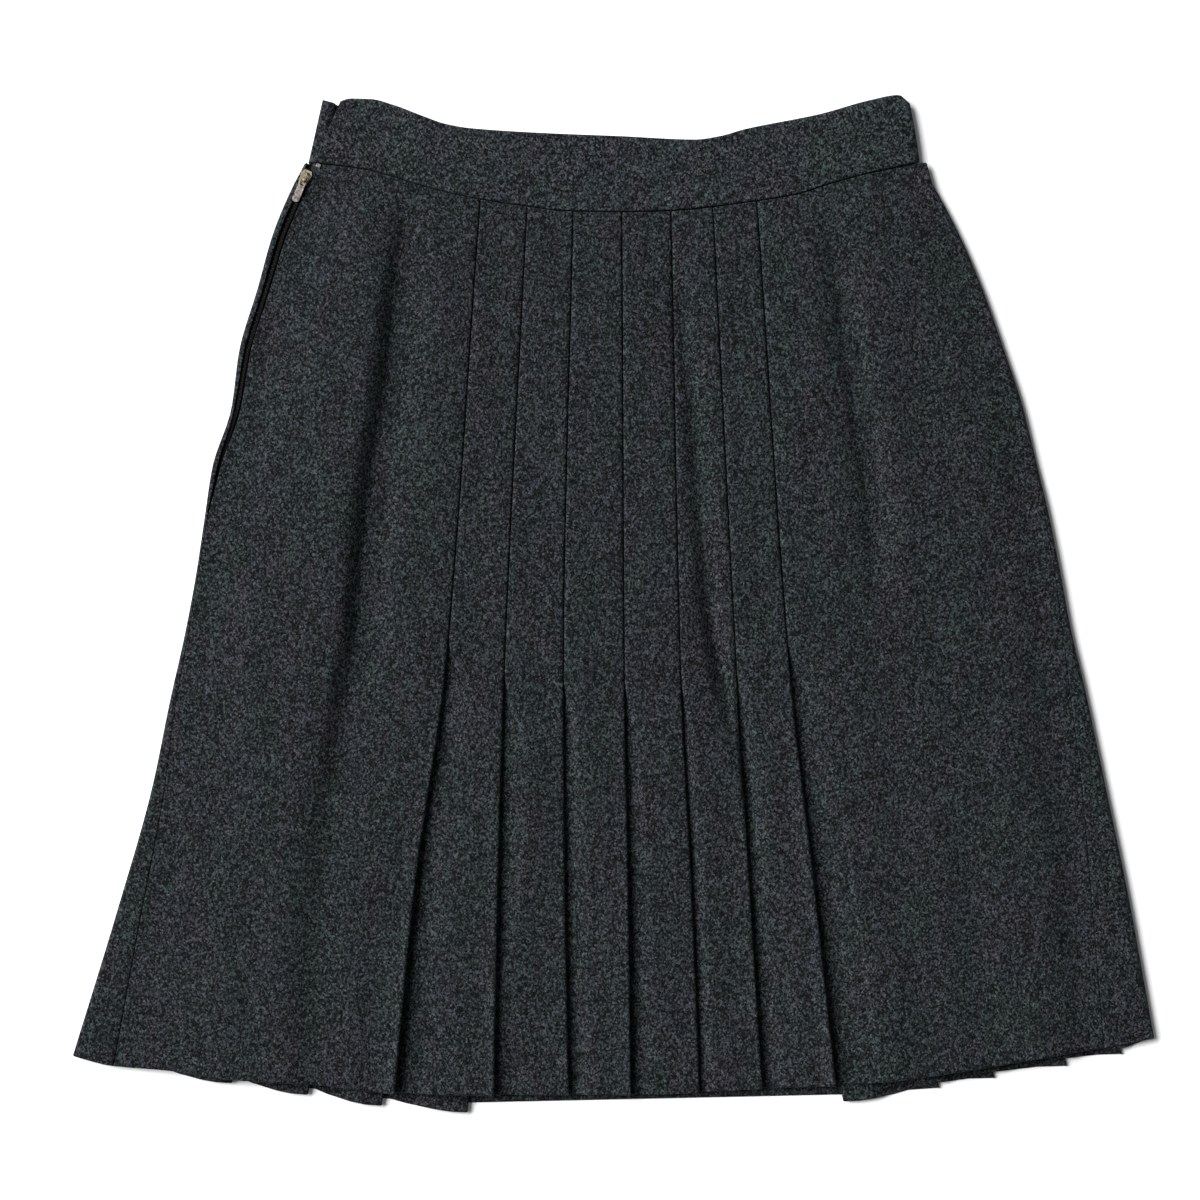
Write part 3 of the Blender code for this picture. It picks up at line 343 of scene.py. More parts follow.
def side_fold(along):
    """Distance in from the silhouette and height, along the mid-line of the rounded side fold."""
    middle = SIDE_HEIGHT / 2
    angle = np.clip(along / SIDE_RADIUS, 0.0, math.pi)
    inward = middle - SIDE_RADIUS * np.sin(angle)
    height = middle + SIDE_RADIUS * np.cos(angle)
    past = np.maximum(along - math.pi * SIDE_RADIUS, 0.0)
    return inward + np.maximum(-along, 0.0) + past, height


def row_shares():
    """Shares of the rows: closer together at the waist, where the pleats open and at the hem."""
    fine = np.linspace(0.0, 1.0, ROW_SAMPLES)
    density = np.ones(ROW_SAMPLES)
    for crowds in ROW_CROWDS:
        density += sum(extra * np.exp(-(((fine - at) / width) ** 2)) for at, width, extra in crowds)
    total = np.concatenate([[0.0], np.cumsum((density[1:] + density[:-1]) / 2)])
    return np.interp(np.linspace(0.0, total[-1], ROW_COUNT), total, fine)


# ---------------- cross sections
class Columns:
    """The columns of a cloth piece from left to right, each with one x and height for each row."""

    def __init__(self, share):
        self.share = share
        self.x, self.z, self.soft, self.own = [], [], [], []

    def add(self, x, z, soft=1.0, own=0.0):
        """own is 1 where z is a height above the table, 0 where it is one above the floor."""
        rows = np.ones(len(self.share))
        self.x.append(x * rows)
        self.z.append(z * rows)
        self.soft.append(soft * rows)
        self.own.append(own * rows)

    def fold(self, centre_x, centre_z, way, over, steps=5):
        """A half turn round a centre: way is the side it bulges to, over 1 runs it top down."""
        for i in range(steps):
            angle = math.pi * i / (steps - 1)
            self.add(centre_x + way * LAYER / 2 * math.sin(angle),
                     centre_z + over * LAYER / 2 * math.cos(angle))

    def arrays(self):
        return [np.array(v).T for v in (self.x, self.z, self.soft, self.own)]


def crease_x(pleat, share):
    places = (pleat.waist, pleat.release, pleat.low, pleat.hem)
    return smooth_curve(PLEAT_STOPS, places, share)


def trough_x(name, share):
    return fold_value(FOLDS[name], "x", mix(TROUGH_TOP, TROUGH_FOOT, share))


def front_edge(columns, left, offs):
    """Columns round a side fold, from the side seam inward."""
    share = columns.share
    seam = section(share, "left_seam" if left else "right_seam")
    for off in offs:
        inward, height = side_fold(seam - off)
        x = section(share, "left") + inward if left else section(share, "right") - inward
        columns.add(x, height, soft=0.0, own=1.0)


def plain_height(x, share):
    """Height of the front's plain sides above the floor: low at the side folds, full further in."""
    reach = EDGE_STEPS[-1]
    left_in = x - section(share, "left") - side_fold(section(share, "left_seam") - reach)[0]
    right_in = section(share, "right") - side_fold(section(share, "right_seam") - reach)[0] - x
    nearest = np.minimum(left_in, right_in)
    inside = ease(nearest / SIDE_RISE)
    away = np.clip(nearest / PUFF_RISE, 0.0, 1.0)
    return REST_GAP + CLOTH / 2 + (2 * LAYER - REST_GAP) * inside + PUFF * inside * away


def front_plain(columns, start, end, count):
    """Plain columns up to a place, from one that is there already."""
    for t in np.linspace(0.0, 1.0, count + 1)[1:]:
        x = mix(start, end, t)
        inside = ease(np.minimum(x - section(columns.share, "left"),
                                 section(columns.share, "right") - x) / SOFT_RISE)
        columns.add(x, plain_height(x, columns.share), soft=inside)


def front_pleat(columns, pleat):
    """One pleat: crease, the two folded layers under it, trench, slope and the next panel."""
    share = columns.share
    x = crease_x(pleat, share)
    depth = mix(pleat.depth_waist, pleat.depth_hem, share)
    opened = ease((share - pleat.opens) / OPENING)
    grown = np.sqrt(ease((share - pleat.opens) / (1.0 - pleat.opens)))
    lift = pleat.lift * grown
    trench = mix(STITCHED_TRENCH, pleat.trench, opened * mix(FIRST_TRENCH, 1.0, grown))
    rise = mix(STITCHED_RISE, pleat.rise, opened * mix(FIRST_RISE, 1.0, grown))
    top = LEVELS[2] + PANEL_LIFT * (1 - opened)
    before = columns.z[-1]
    for t in LEAD_STEPS:
        height = mix(before, top, ease(t)) + lift * t * t * (1 + LEAD_BEND - LEAD_BEND * t)
        columns.add(x - FOLD_REACH - LEAD * (1 - t), height, soft=1.0 - LEAD_SOFT * t)
    columns.fold(x - FOLD_REACH, (LEVELS[1] + top) / 2 + lift, 1.0, 1.0)
    columns.add(x - depth * 0.5, mix(LEVELS[1], LEVELS[1] + lift, UNDER_LIFT))
    columns.fold(x - depth + FOLD_REACH, (LEVELS[0] + LEVELS[1]) / 2, -1.0, 1.0, steps=3)
    columns.add(x - UNDER_STOP, LEVELS[0])
    for t in SLOPE_STEPS:
        columns.add(x + trench + rise * t, mix(LEVELS[0], PANEL_TOP, ease(t)))
    return x + trench + rise


def front_columns(share):
    """All columns of the front, from the left side seam to the right one."""
    columns = Columns(share)
    front_edge(columns, True, EDGE_STEPS)
    trough = trough_x("left_trough", share)
    near, far = trough + LEFT_SPAN[0], trough + LEFT_SPAN[1]
    first = crease_x(FRONT_PLEATS[0], share) - FOLD_REACH - LEAD
    front_plain(columns, columns.x[-1], near, COLUMNS["left_side"])
    front_plain(columns, near, far, COLUMNS["left_fold"])
    front_plain(columns, far, np.maximum(first, trough + TROUGH_ROOM), COLUMNS["left_pleat"])

    for pleat, following in zip(FRONT_PLEATS, FRONT_PLEATS[1:] + (None,)):
        reached = front_pleat(columns, pleat)
        if following:
            crease = crease_x(following, share)
            end = np.maximum(crease - FOLD_REACH - LEAD, reached + PANEL_ROOM)
            for t in np.linspace(0.0, 1.0, COLUMNS["panel"] + 1)[1:]:
                columns.add(mix(reached, end, t), PANEL_TOP)

    inner = np.maximum(trough_x("right_trough", share), reached + TROUGH_ROOM)
    outer = trough_x("outer_right_trough", share)
    edge = Columns(share)
    front_edge(edge, False, EDGE_STEPS[-1:])
    stops = (
        (inner + RIGHT_SPAN[0], "right_inner"), (inner + RIGHT_SPAN[1], "right_fold"),
        (outer + OUTER_SPAN[0], "right_between"), (outer + OUTER_SPAN[1], "right_outer"),
    )
    for stop, name in stops:
        front_plain(columns, reached, stop, COLUMNS[name])
        reached = stop
    front_plain(columns, reached, edge.x[0], COLUMNS["right_side"] + 1)
    front_edge(columns, False, EDGE_STEPS[-2::-1])
    return columns


def front_floor(x, share):
    """Lowest height of the front: over the back's pleats, and lower over its plain middle."""
    low = ease((share - MIDDLE_FROM) / MIDDLE_OVER)
    reach = mix(*MIDDLE_REACH, share)
    inside = ease((reach - np.abs(x - MIDDLE_X)) / MIDDLE_EDGE)
    return FLOOR - MIDDLE_DIP * low * inside


def back_top(x, share):
    """Height of the back's upper face under the front: three layers, or one in the plain middle."""
    left, right = (mix(pleat.waist, pleat.hem, share) for pleat in INNER_PLEATS)
    inside = ease(np.minimum(x - left, right - x) / BACK_STEP)
    return mix(STACK, BACK_SINGLE, inside)


def waist_squeeze(x, share):
    """What is left of the height where the layers are pressed together at the waist seam."""
    near = 1.0 - ease(share / SQUEEZE_LENGTH)
    return 1.0 - SQUEEZE * near * ease((x - SQUEEZE_FROM) / SQUEEZE_OVER)


def front_panel():
    """The front as one shell: floor, pleats and soft folds, kept clear of the back."""
    share = row_shares()
    columns = front_columns(share)
    x, z, soft, own = columns.arrays()
    s = share[:, None] * np.ones_like(x)
    y_top = edge_y(WAIST_SEAM, x[0]) - WAIST_GAP
    y = mix(y_top[None, :], edge_y(FRONT_HEM, x[-1])[None, :], s)
    floor = front_floor(x, s)
    settle = fold_height(x, y) + swell_height(x, y) * SWELL_SHARE + press_height(x, y)
    height = floor + z + soft * settle
    height = np.maximum(height, back_top(x, s) + REST_AIR + CLOTH / 2 + PRESSED * z)
    height = np.where(own > 0, z, height)
    height = height * waist_squeeze(x, s)
    mids = np.stack([x, y, height], axis=2)
    return shell("skirt_front", mids, CLOTH)


# ---------------- the back
def back_side(columns, left):
    """From the seam on the front, round the side fold, down to the table."""
    share = columns.share
    seam = section(share, "left_seam" if left else "right_seam")
    slot = section(share, "slot") if left else SEAM_GAP
    start = seam + SEAM_AIR + np.maximum(slot - SEAM_GAP, 0.0) * SLOT_ALONG
    turn = np.maximum(start + BACK_EDGE, 0.0)
    bottom = math.pi * SIDE_RADIUS
    silhouette = section(share, "left" if left else "right")
    edge = [mix(start, turn, t) for t in SIDE_STEPS]
    places = edge + [mix(turn, bottom, t) for t in np.linspace(0.0, 1.0, SIDE_TURN_COLUMNS)]
    for along in places:
        inward, height = side_fold(along)
        columns.add(silhouette + inward if left else silhouette - inward, height)


def back_pleat(columns, pleat, free_from):
    """One pleat of the back, from the side to the plain middle. Returns each column's hem blend."""
    share = columns.share
    way = -pleat.side
    x = mix(pleat.waist, pleat.hem, share)
    depth = mix(pleat.depth_waist, pleat.depth_hem, share)
    climb_end = x - way * (depth + CLIMB_MARGIN)
    climb_start = mix(free_from, climb_end, BACK_SLOPE_REST)
    hems = []
    for t in FREE_STEPS:
        columns.add(mix(free_from, climb_start, t), LEVELS[0])
        hems.append(FREE_HEM * t)
    for t in CLIMB_STEPS:
        columns.add(mix(climb_start, climb_end, t), mix(LEVELS[0], LEVELS[2], ease(t)))
        hems.append(mix(FREE_HEM, CLIMB_HEM, t))
    columns.add(mix(climb_end, x - way * FOLD_REACH, 0.5), LEVELS[2])
    columns.fold(x - way * FOLD_REACH, (LEVELS[1] + LEVELS[2]) / 2, way, 1.0)
    columns.add(x - way * depth * 0.5, LEVELS[1])
    columns.fold(x - way * (depth - FOLD_REACH), (LEVELS[0] + LEVELS[1]) / 2, -way, 1.0)
    return hems + [TOP_HEM, *CREASE_HEMS, MIDDLE_HEM, *UNDER_HEMS]


def back_half(share, side):
    """Columns and hem heights from one side seam to the plain middle."""
    columns = Columns(share)
    back_side(columns, side < 0)
    hem = [float(edge_y(FRONT_HEM, x[-1])) for x in columns.x]
    pleats = [p for p in BACK_PLEATS if p.side == side]
    if side > 0:
        pleats.reverse()
    free_from, before = columns.x[-1], hem[-1]
    for pleat in pleats:
        blends = back_pleat(columns, pleat, free_from)
        stops = (before, pleat.hem_crease, pleat.hem_under)
        hem += [float(np.interp(b, (0.0, 1.0, 2.0), stops)) for b in blends]
        free_from = mix(pleat.waist, pleat.hem, share)
        before = pleat.hem_under
    return columns, hem


def back_panel():
    """Both halves and the plain middle between them, as one shell."""
    share = row_shares()
    left, left_hem = back_half(share, -1)
    right, right_hem = back_half(share, 1)
    middle = Columns(share)
    steps = np.linspace(0.0, 1.0, BACK_MIDDLE_COLUMNS + 2)[1:-1]
    for t in steps:
        middle.add(mix(left.x[-1], right.x[-1], t), LEVELS[0])
    xs = left.x + middle.x + right.x[::-1]
    zs = left.z + middle.z + right.z[::-1]
    hem = left_hem + [mix(left_hem[-1], right_hem[-1], t) for t in steps] + right_hem[::-1]
    x, z = np.array(xs).T, np.array(zs).T
    s = share[:, None] * np.ones_like(x)
    y_top = edge_y(WAIST_SEAM, x[0]) - WAIST_GAP
    y = mix(y_top[None, :], np.array(hem)[None, :], s)
    z = z * waist_squeeze(x, s)
    return shell("skirt_back", np.stack([x, y, z], axis=2), CLOTH)


# ---------------- shells
SIDE_ROUND = 0.5  # radius at a shell's long sides, as a share of half the thickness
RIM_GROWS, RIM_LEAST = 0.93, 0.07  # half thickness at the rim, as shares: growth and least


def shell(name, mids, thickness):
    """A closed shell with rounded edges about a mid-surface of rows and columns of points."""
    rows, count = mids.shape[:2]
    half = thickness / 2
    run = np.gradient(mids[:, :, 0], axis=1)
    climb = np.gradient(mids[:, :, 2], axis=1)
    length = np.hypot(run, climb)
    normal = np.stack([-climb / length, np.zeros_like(run), run / length], axis=2)
    steps = np.linalg.norm(np.diff(mids, axis=1), axis=2)
    across = np.concatenate([np.zeros((rows, 1)), np.cumsum(steps, axis=1)], axis=1)
    down = np.linalg.norm(np.diff(mids, axis=0), axis=2)
    along = np.concatenate([np.zeros((1, count)), np.cumsum(down, axis=0)], axis=0)
    sides = np.minimum(across, across[:, -1:] - across) / SIDE_ROUND
    nearest = np.minimum.reduce([sides, along, along[-1:] - along])
    inner = np.clip(nearest / half, 0.0, 1.0)
    full = np.sqrt(1.0 - (1.0 - inner) ** 2) * RIM_GROWS + RIM_LEAST
    offset = normal * (half * full)[:, :, None]
    upper, lower = mids + offset, mids - offset
    points = np.concatenate([upper.reshape(-1, 3), lower.reshape(-1, 3)])
    index = np.arange(rows * count).reshape(rows, count)
    top, low = index, index + rows * count

    faces = [
        quads(top[:-1, :-1], top[1:, :-1], top[1:, 1:], top[:-1, 1:]),
        quads(low[:-1, :-1], low[:-1, 1:], low[1:, 1:], low[1:, :-1]),
        quads(top[:-1, 0], low[:-1, 0], low[1:, 0], top[1:, 0]),
        quads(top[:-1, -1], top[1:, -1], low[1:, -1], low[:-1, -1]),
        quads(top[0, :-1], top[0, 1:], low[0, 1:], low[0, :-1]),
        quads(top[-1, :-1], low[-1, :-1], low[-1, 1:], top[-1, 1:]),
    ]
    return mesh_object(name, points, np.concatenate(faces).tolist())


def quads(*corners):
    """Faces from four grids of corner numbers."""
    return np.stack([corner.ravel() for corner in corners], axis=1)


def added(name, data):
    """A new object in the scene."""
    made = bpy.data.objects.new(name, data)
    bpy.context.scene.collection.objects.link(made)
    return made


def mesh_object(name, points, faces, smooth=True):
    """A mesh object from points in millimetres, with none of them under the floor."""
    points = np.array(points)
    points[:, 2] = np.maximum(points[:, 2], 0.0)
    mesh = bpy.data.meshes.new(name)
    mesh.from_pydata(((points + CENTRE) * MM).tolist(), [], faces)
    if smooth:
        mesh.shade_smooth()
    return added(name, mesh)


# ---------------- waistband
BAND_RIGHT = (166.5, 172.1)  # x of the band's right fold at its top and at the seam
BAND_LEFT = (-154.8, -169.6)  # x of the front end at the top and at the seam
BAND_BACK_LEFT = (-164.8, -173.0)  # x of the back end, which shows past the front end
BACK_END_FLAT, BACK_END_TURN = 5.2, 3.4  # width of its raised strip, and of the step down from it
BACK_END_RISE = (3.0, 0.8)  # how far the strip stands up, at the top and at the seam
BAND_BACK_DROP = 1.0  # how far the hidden back's top edge lies below the front's
BAND_BACK_SLOPE = 0.27  # rise of the top edge for each millimetre past its table
BAND_RIM, BAND_SEAM_RIM = 1.35, 1.0  # rounding of the top and of the seam edge, down the face
BAND_END_GROWS, BAND_END_LEAST = 0.9, 0.1  # half thickness at an end, as shares

# Columns along the band, as shares of its front and of its back, and rows down its face.
END_SHARES = (0.0, 0.0006, 0.0016, 0.003)
FRONT_SHARES = [*END_SHARES, *np.linspace(0.006, 1.0, 150)]
BACK_SHARES = [*np.linspace(0.0, 0.955, 40), *np.linspace(0.96, 0.994, 16),
               *(1 - end for end in END_SHARES[::-1])]
TURN_STEPS = 12
RIM_ROWS, FACE_ROWS, SEAM_RIM_ROWS = 7, 21, 6

# Heights of the relief on the band's front face.
BAND_SWELLS = (0.16, 0.10)
BAND_PULL, BAND_PULL_FROM = 0.12, 0.62  # height of the pulls, and the share where they start
BAND_CROWN, BAND_SINK = 0.35, 0.2


def band_line():
    """Mid-line round from front end to back end: x at the top and low edge, then their heights."""
    front_z = BAND_CLOTH * 1.5 + BAND_GAP
    back_z = BAND_CLOTH / 2
    radius = (front_z - back_z) / 2
    turn = BAND_CLOTH / 2 + radius
    ends = (BAND_RIGHT[0] - turn, BAND_RIGHT[1] - turn)
    found = []
    for t in FRONT_SHARES:
        x_top, x_low = mix(BAND_LEFT[0], ends[0], t), mix(BAND_LEFT[1], ends[1], t)
        found.append((x_top, x_low, front_z, front_z))
    for i in range(1, TURN_STEPS):
        angle = math.pi * i / TURN_STEPS
        out = radius * math.sin(angle)
        z = (front_z + back_z) / 2 + radius * math.cos(angle)
        found.append((ends[0] + out, ends[1] + out, z, z))
    for t in BACK_SHARES:
        x_top, x_low = mix(ends[0], BAND_BACK_LEFT[0], t), mix(ends[1], BAND_BACK_LEFT[1], t)
        from_end = x_top - BAND_BACK_LEFT[0]
        up = ease((BACK_END_FLAT + BACK_END_TURN - from_end) / BACK_END_TURN)
        z_top, z_low = back_z + up * BACK_END_RISE[0], back_z + up * BACK_END_RISE[1]
        found.append((x_top, x_low, z_top, z_low))
    return np.array(found)


def band_rows(height):
    """Rows down the face: share of the height, share of the half thickness, share of the relief."""
    rows = []
    for angle in np.linspace(0.0, math.pi / 2, RIM_ROWS):
        rows.append((BAND_RIM * (1 - math.cos(angle)) / height, math.sin(angle), 0.0))
    for t in np.linspace(0.0, 1.0, FACE_ROWS)[1:-1]:
        rows.append((mix(BAND_RIM / height, 1 - BAND_SEAM_RIM / height, t), 1.0, 1.0))
    for angle in np.linspace(math.pi / 2, 0.0, SEAM_RIM_ROWS):
        rows.append((1 - BAND_SEAM_RIM * (1 - math.cos(angle)) / height, math.sin(angle), 0.0))
    return rows


def waistband():
    """The band as one closed piece: rings of points across it, from front end to back end."""
    line = band_line()
    count = len(line)
    half = BAND_CLOTH / 2
    top_x, low_x, top_z, low_z = line.T
    run, climb = np.gradient(top_x), np.gradient(top_z)
    length = np.hypot(run, climb)
    normal = np.stack([-climb / length, np.zeros(count), run / length], axis=1)
    hidden = ease((BAND_CLOTH * 1.5 - top_z) / BAND_CLOTH)
    y_top = edge_y(BAND_TOP, np.maximum(top_x, BAND_TOP[0].x)) - BAND_BACK_DROP * hidden
    y_top = y_top + BAND_BACK_SLOPE * np.maximum(BAND_TOP[0].x - top_x, 0.0)
    y_low = edge_y(WAIST_SEAM, low_x) + SEAM_GAP / 2
    top = np.stack([top_x, y_top, top_z], axis=1)
    low = np.stack([low_x, y_low, low_z], axis=1)
    steps = np.linalg.norm(np.diff(top, axis=0), axis=1)
    along = np.concatenate([[0.0], np.cumsum(steps)])
    to_end = np.minimum(along, along[-1] - along)
    rounding = np.sqrt(1 - (1 - np.clip(to_end / half, 0, 1)) ** 2)
    round_end = rounding * BAND_END_GROWS + BAND_END_LEAST

    rows = band_rows(np.linalg.norm(top - low, axis=1))
    rings = []
    for sign, order in ((1.0, rows), (-1.0, rows[-2:0:-1])):
        for share, thick, relief in order:
            place = mix(top, low, share[:, None])
            wave = band_relief(place[:, 0], place[:, 1], share) * relief if sign > 0 else 0.0
            offset = (half * thick * round_end + wave) * sign
            rings.append(place + normal * offset[:, None])
    grid = np.stack(rings, axis=1)
    size = grid.shape[1]
    index = np.arange(count * size).reshape(count, size)
    after = np.roll(index, -1, axis=1)
    faces = quads(index[:-1], after[:-1], after[1:], index[1:]).tolist()
    faces += [index[0].tolist(), index[-1, ::-1].tolist()]
    return mesh_object("waistband_cloth", grid.reshape(-1, 3), faces)


def band_relief(x, y, share):
    """Soft unevenness of the band's front: slight swells and pulls towards the seam."""
    swell = (BAND_SWELLS[0] * np.sin(x / 17.0 + 1.1 * np.sin(y / 23.0))
             + BAND_SWELLS[1] * np.sin(x / 7.3 + 2.0 + y / 31.0))
    near_seam = ease((share - BAND_PULL_FROM) / (1.0 - BAND_PULL_FROM))
    pulls = BAND_PULL * np.sin(x / 3.1 + 1.7 * np.sin(x / 29.0)) * near_seam
    crown = BAND_CROWN * np.sin(np.pi * np.clip(share, 0, 1))
    return swell + pulls + crown - BAND_SINK


# ---------------- zip
CHAIN_FROM, CHAIN_TO = 0.022, 0.275  # shares of the length with closed teeth
TOOTH = Vector((1.1, 0.7, 0.6))  # one tooth: across, along and up
TOOTH_PITCH = 1.35
TOOTH_SHIFT = 0.35  # how far a tooth lies to its own tape's side
TOOTH_Z = 4.3
STOP_AT = Vector((-167.0, 247.3, 5.9))
STOP_SIZE = Vector((2.6, 2.2, 1.0))
STOP_WAY = Vector((0.4, 0.917, 0))
TAPE_TOP_CENTRE = Vector((-170.2, 247.4, 3.1))
TAPE_TOP_SIZE = Vector((5.0, 6.6, 0.46))
BLOCK_CUT = 0.22  # a block's cut corners, as a share of its smallest size
BLOCK_SHRINK = 0.8  # share of its width at its top and foot


def small_block(centre, size, along):
    """Vertices and faces of a block with cut corners, its long way turned to a direction."""
    half = size / 2
    cut = BLOCK_CUT * min(size)
    in_x, in_y = half.x - cut, half.y - cut
    outline = [(-in_x, -half.y), (in_x, -half.y), (half.x, -in_y), (half.x, in_y),
               (in_x, half.y), (-in_x, half.y), (-half.x, in_y), (-half.x, -in_y)]
    way = Vector((along.x, along.y, 0)).normalized()
    across = Vector((-way.y, way.x, 0))
    levels = ((BLOCK_SHRINK, -half.z), (1.0, -half.z + cut), (1.0, half.z - cut),
              (BLOCK_SHRINK, half.z))
    points = []
    for shrink, z in levels:
        points += [centre + across * a * shrink + way * b * shrink + Vector((0, 0, z))
                   for a, b in outline]
    sides = len(outline)
    last = (len(levels) - 1) * sides
    faces = [tuple(range(sides))[::-1], tuple(range(last, last + sides))]
    for foot in range(0, last, sides):
        for i in range(sides):
            j = (i + 1) % sides
            faces.append((foot + i, foot + j, foot + sides + j, foot + sides + i))
    return points, faces


def blocks_object(name, blocks):
    """One mesh object from several blocks."""
    points, faces = [], []
    for block_points, block_faces in blocks:
        faces += [tuple(len(points) + i for i in face) for face in block_faces]
        points += [tuple(p) for p in block_points]
    return mesh_object(name, points, faces, smooth=False)


def slot_point(share):
    """The middle of the zip's slot at a share of the length."""
    seam, slot = float(section(share, "left_seam")), float(section(share, "slot"))
    x = float(section(share, "left")) + SIDE_HEIGHT / 2 - (seam + slot / 2)
    y_top = float(edge_y(WAIST_SEAM, section(0.0, "left"))) - WAIST_GAP
    return Vector((x, mix(y_top, float(edge_y(FRONT_HEM, section(1.0, "left"))), share), TOOTH_Z))


def zip_teeth():
    """Closed teeth, alternately from the left and the right tape."""
    start, end = slot_point(CHAIN_FROM), slot_point(CHAIN_TO)
    count = int((start - end).length / TOOTH_PITCH)
    places = [slot_point(mix(CHAIN_FROM, CHAIN_TO, i / (count - 1))) for i in range(count)]
    blocks = []
    for i, place in enumerate(places):
        way = places[min(i + 1, count - 1)] - places[max(i - 1, 0)]
        side = TOOTH_SHIFT if i % 2 else -TOOTH_SHIFT
        across = Vector((-way.y, way.x, 0)).normalized() * side
        blocks.append(small_block(place + across, TOOTH, way))
    return blocks_object("zip_teeth", blocks)


def tape_top():
    """The tapes' upper ends, which run on between the two layers of the waistband."""
    end = small_block(TAPE_TOP_CENTRE, TAPE_TOP_SIZE, Vector((0, 1, 0)))
    return blocks_object("zip_tape_top", [end])


def zip_stop():
    """The small metal top stop, clamped on the front tape's end."""
    return blocks_object("zip_stop", [small_block(STOP_AT, STOP_SIZE, STOP_WAY)])


# ---------------- materials
# Noise layers: scale per metre, detail, roughness and a stretch along each axis.
Layer = namedtuple("Layer", "scale detail roughness stretch", defaults=(None,))
HEATHER = Layer(55.0, 3.0, 0.6, (1.0, 0.42, 1.0))
BLUE_HEATHER = Layer(90.0, 2.0, 0.6, (1.0, 0.3, 1.0))
LONG_FIBRES = Layer(700.0, 3.0, 0.7, (1.0, 0.28, 1.0))
CLUMPS = Layer(330.0, 2.0, 0.6)
THREADS = Layer(1500.0, 2.0, 0.6)
STAIN = Layer(420.0, 3.0, 0.6)
SCRATCH = Layer(2600.0, 2.0, 0.7, (1.0, 0.2, 1.0))

# Cells of the flannel's fibre tufts: scale per metre, stretch, and share of the pattern.
Tufts = namedtuple("Tufts", "scale stretch share")
COARSE_TUFTS = Tufts(1200.0, (1.0, 0.8, 1.0), 0.66)
FINE_TUFTS = Tufts(1900.0, (1.1, 0.7, 1.0), 0.34)

# Ranges that a pattern is taken from or spread to.
UNIT, BODY = (0.0, 1.0), (0.3, 0.7)
PLUM_FROM, BLUE_FROM, BLUE_TO = (0.40, 0.60), (0.42, 0.66), (0.0, 0.7)
FLECK_TO, FLECK_POWER = (-0.1, 2.06), 2.6
STREAK_TO, CLUMP_TO, NAP_ROUGHNESS = (0.78, 1.22), (0.88, 1.12), (0.88, 0.98)
RIB_TO, THREAD_TO = (0.6, 1.3), (0.7, 1.3)
STAIN_FROM, GLOSS_TO = (0.35, 0.65), (0.75, 1.5)

FLANNEL_GREEN = (0.0088, 0.0122, 0.0120)
FLANNEL_PLUM = (0.0108, 0.0108, 0.0132)
FLANNEL_BLUE = (0.0086, 0.0108, 0.0134)
BAND_TONE = 1.2  # the band is this much lighter than the panels
# the tape's black, darkened further as painted shade for the dark slot of the zip
TAPE_BLACK_WITH_SLOT_SHADE = (0.0035, 0.0035, 0.004, 1.0)

# Metals: the colour where they are bright, the colour where they are dull, and roughness.
STEEL = ((0.50, 0.46, 0.43), (0.17, 0.13, 0.11), 0.34)
BRASS = ((0.60, 0.52, 0.38), (0.18, 0.14, 0.09), 0.34)
DARK_METAL = ((0.030, 0.028, 0.027), (0.01, 0.01, 0.01), 0.5)


def new_material(name):
    made = bpy.data.materials.new(name)
    made.use_nodes = True
    nodes = made.node_tree.nodes
    return made, nodes, made.node_tree.links, nodes["Principled BSDF"]


def set_inputs(node, **values):
    """Sets constants on a node's own sockets; an underscore in a name stands for a space."""
    for name, value in values.items():
        node.inputs[name.replace("_", " ")].default_value = value


def stretched(nodes, links, vector, stretch):
    mapping = nodes.new("ShaderNodeMapping")
    set_inputs(mapping, Scale=stretch)
    links.new(vector, mapping.inputs["Vector"])
    return mapping.outputs["Vector"]


def noise(nodes, links, vector, layer):
    """A noise texture's factor."""
    if layer.stretch:
        vector = stretched(nodes, links, vector, layer.stretch)
    texture = nodes.new("ShaderNodeTexNoise")
    set_inputs(texture, Scale=layer.scale, Detail=layer.detail, Roughness=layer.roughness)
    links.new(vector, texture.inputs["Vector"])
    return texture.outputs["Fac"]


def cells(nodes, links, vector, tufts):
    """A random value for each small cell, as single fibre tufts show, times a share."""
    texture = nodes.new("ShaderNodeTexVoronoi")
    set_inputs(texture, Scale=tufts.scale)
    links.new(stretched(nodes, links, vector, tufts.stretch), texture.inputs["Vector"])
    split = nodes.new("ShaderNodeSeparateColor")
    links.new(texture.outputs["Color"], split.inputs["Color"])
    return combined(nodes, links, "MULTIPLY", split.outputs["Red"], tufts.share)


def ranged(nodes, links, value, span, to):
    """A value spread from one range to another."""
    made = nodes.new("ShaderNodeMapRange")
    made.inputs["From Min"].default_value, made.inputs["From Max"].default_value = span
    made.inputs["To Min"].default_value, made.inputs["To Max"].default_value = to
    links.new(value, made.inputs["Value"])
    return made.outputs["Result"]


def combined(nodes, links, operation, a, b):
    made = nodes.new("ShaderNodeMath")
    made.operation = operation
    for socket, value in zip(made.inputs, (a, b)):
        if isinstance(value, (int, float)):
            socket.default_value = value
        else:
            links.new(value, socket)
    return made.outputs["Value"]


def blended(nodes, links, factor, a, b):
    made = nodes.new("ShaderNodeMix")
    made.data_type = "RGBA"
    links.new(factor, made.inputs["Factor"])
    for socket, value in ((made.inputs["A"], a), (made.inputs["B"], b)):
        if isinstance(value, tuple):
            socket.default_value = (*value, 1.0)
        else:
            links.new(value, socket)
    return made.outputs["Result"]


def scaled_colour(nodes, links, colour, factor):
    made = nodes.new("ShaderNodeVectorMath")
    made.operation = "SCALE"
    links.new(colour, made.inputs[0])
    links.new(factor, made.inputs["Scale"])
    return made.outputs["Vector"]


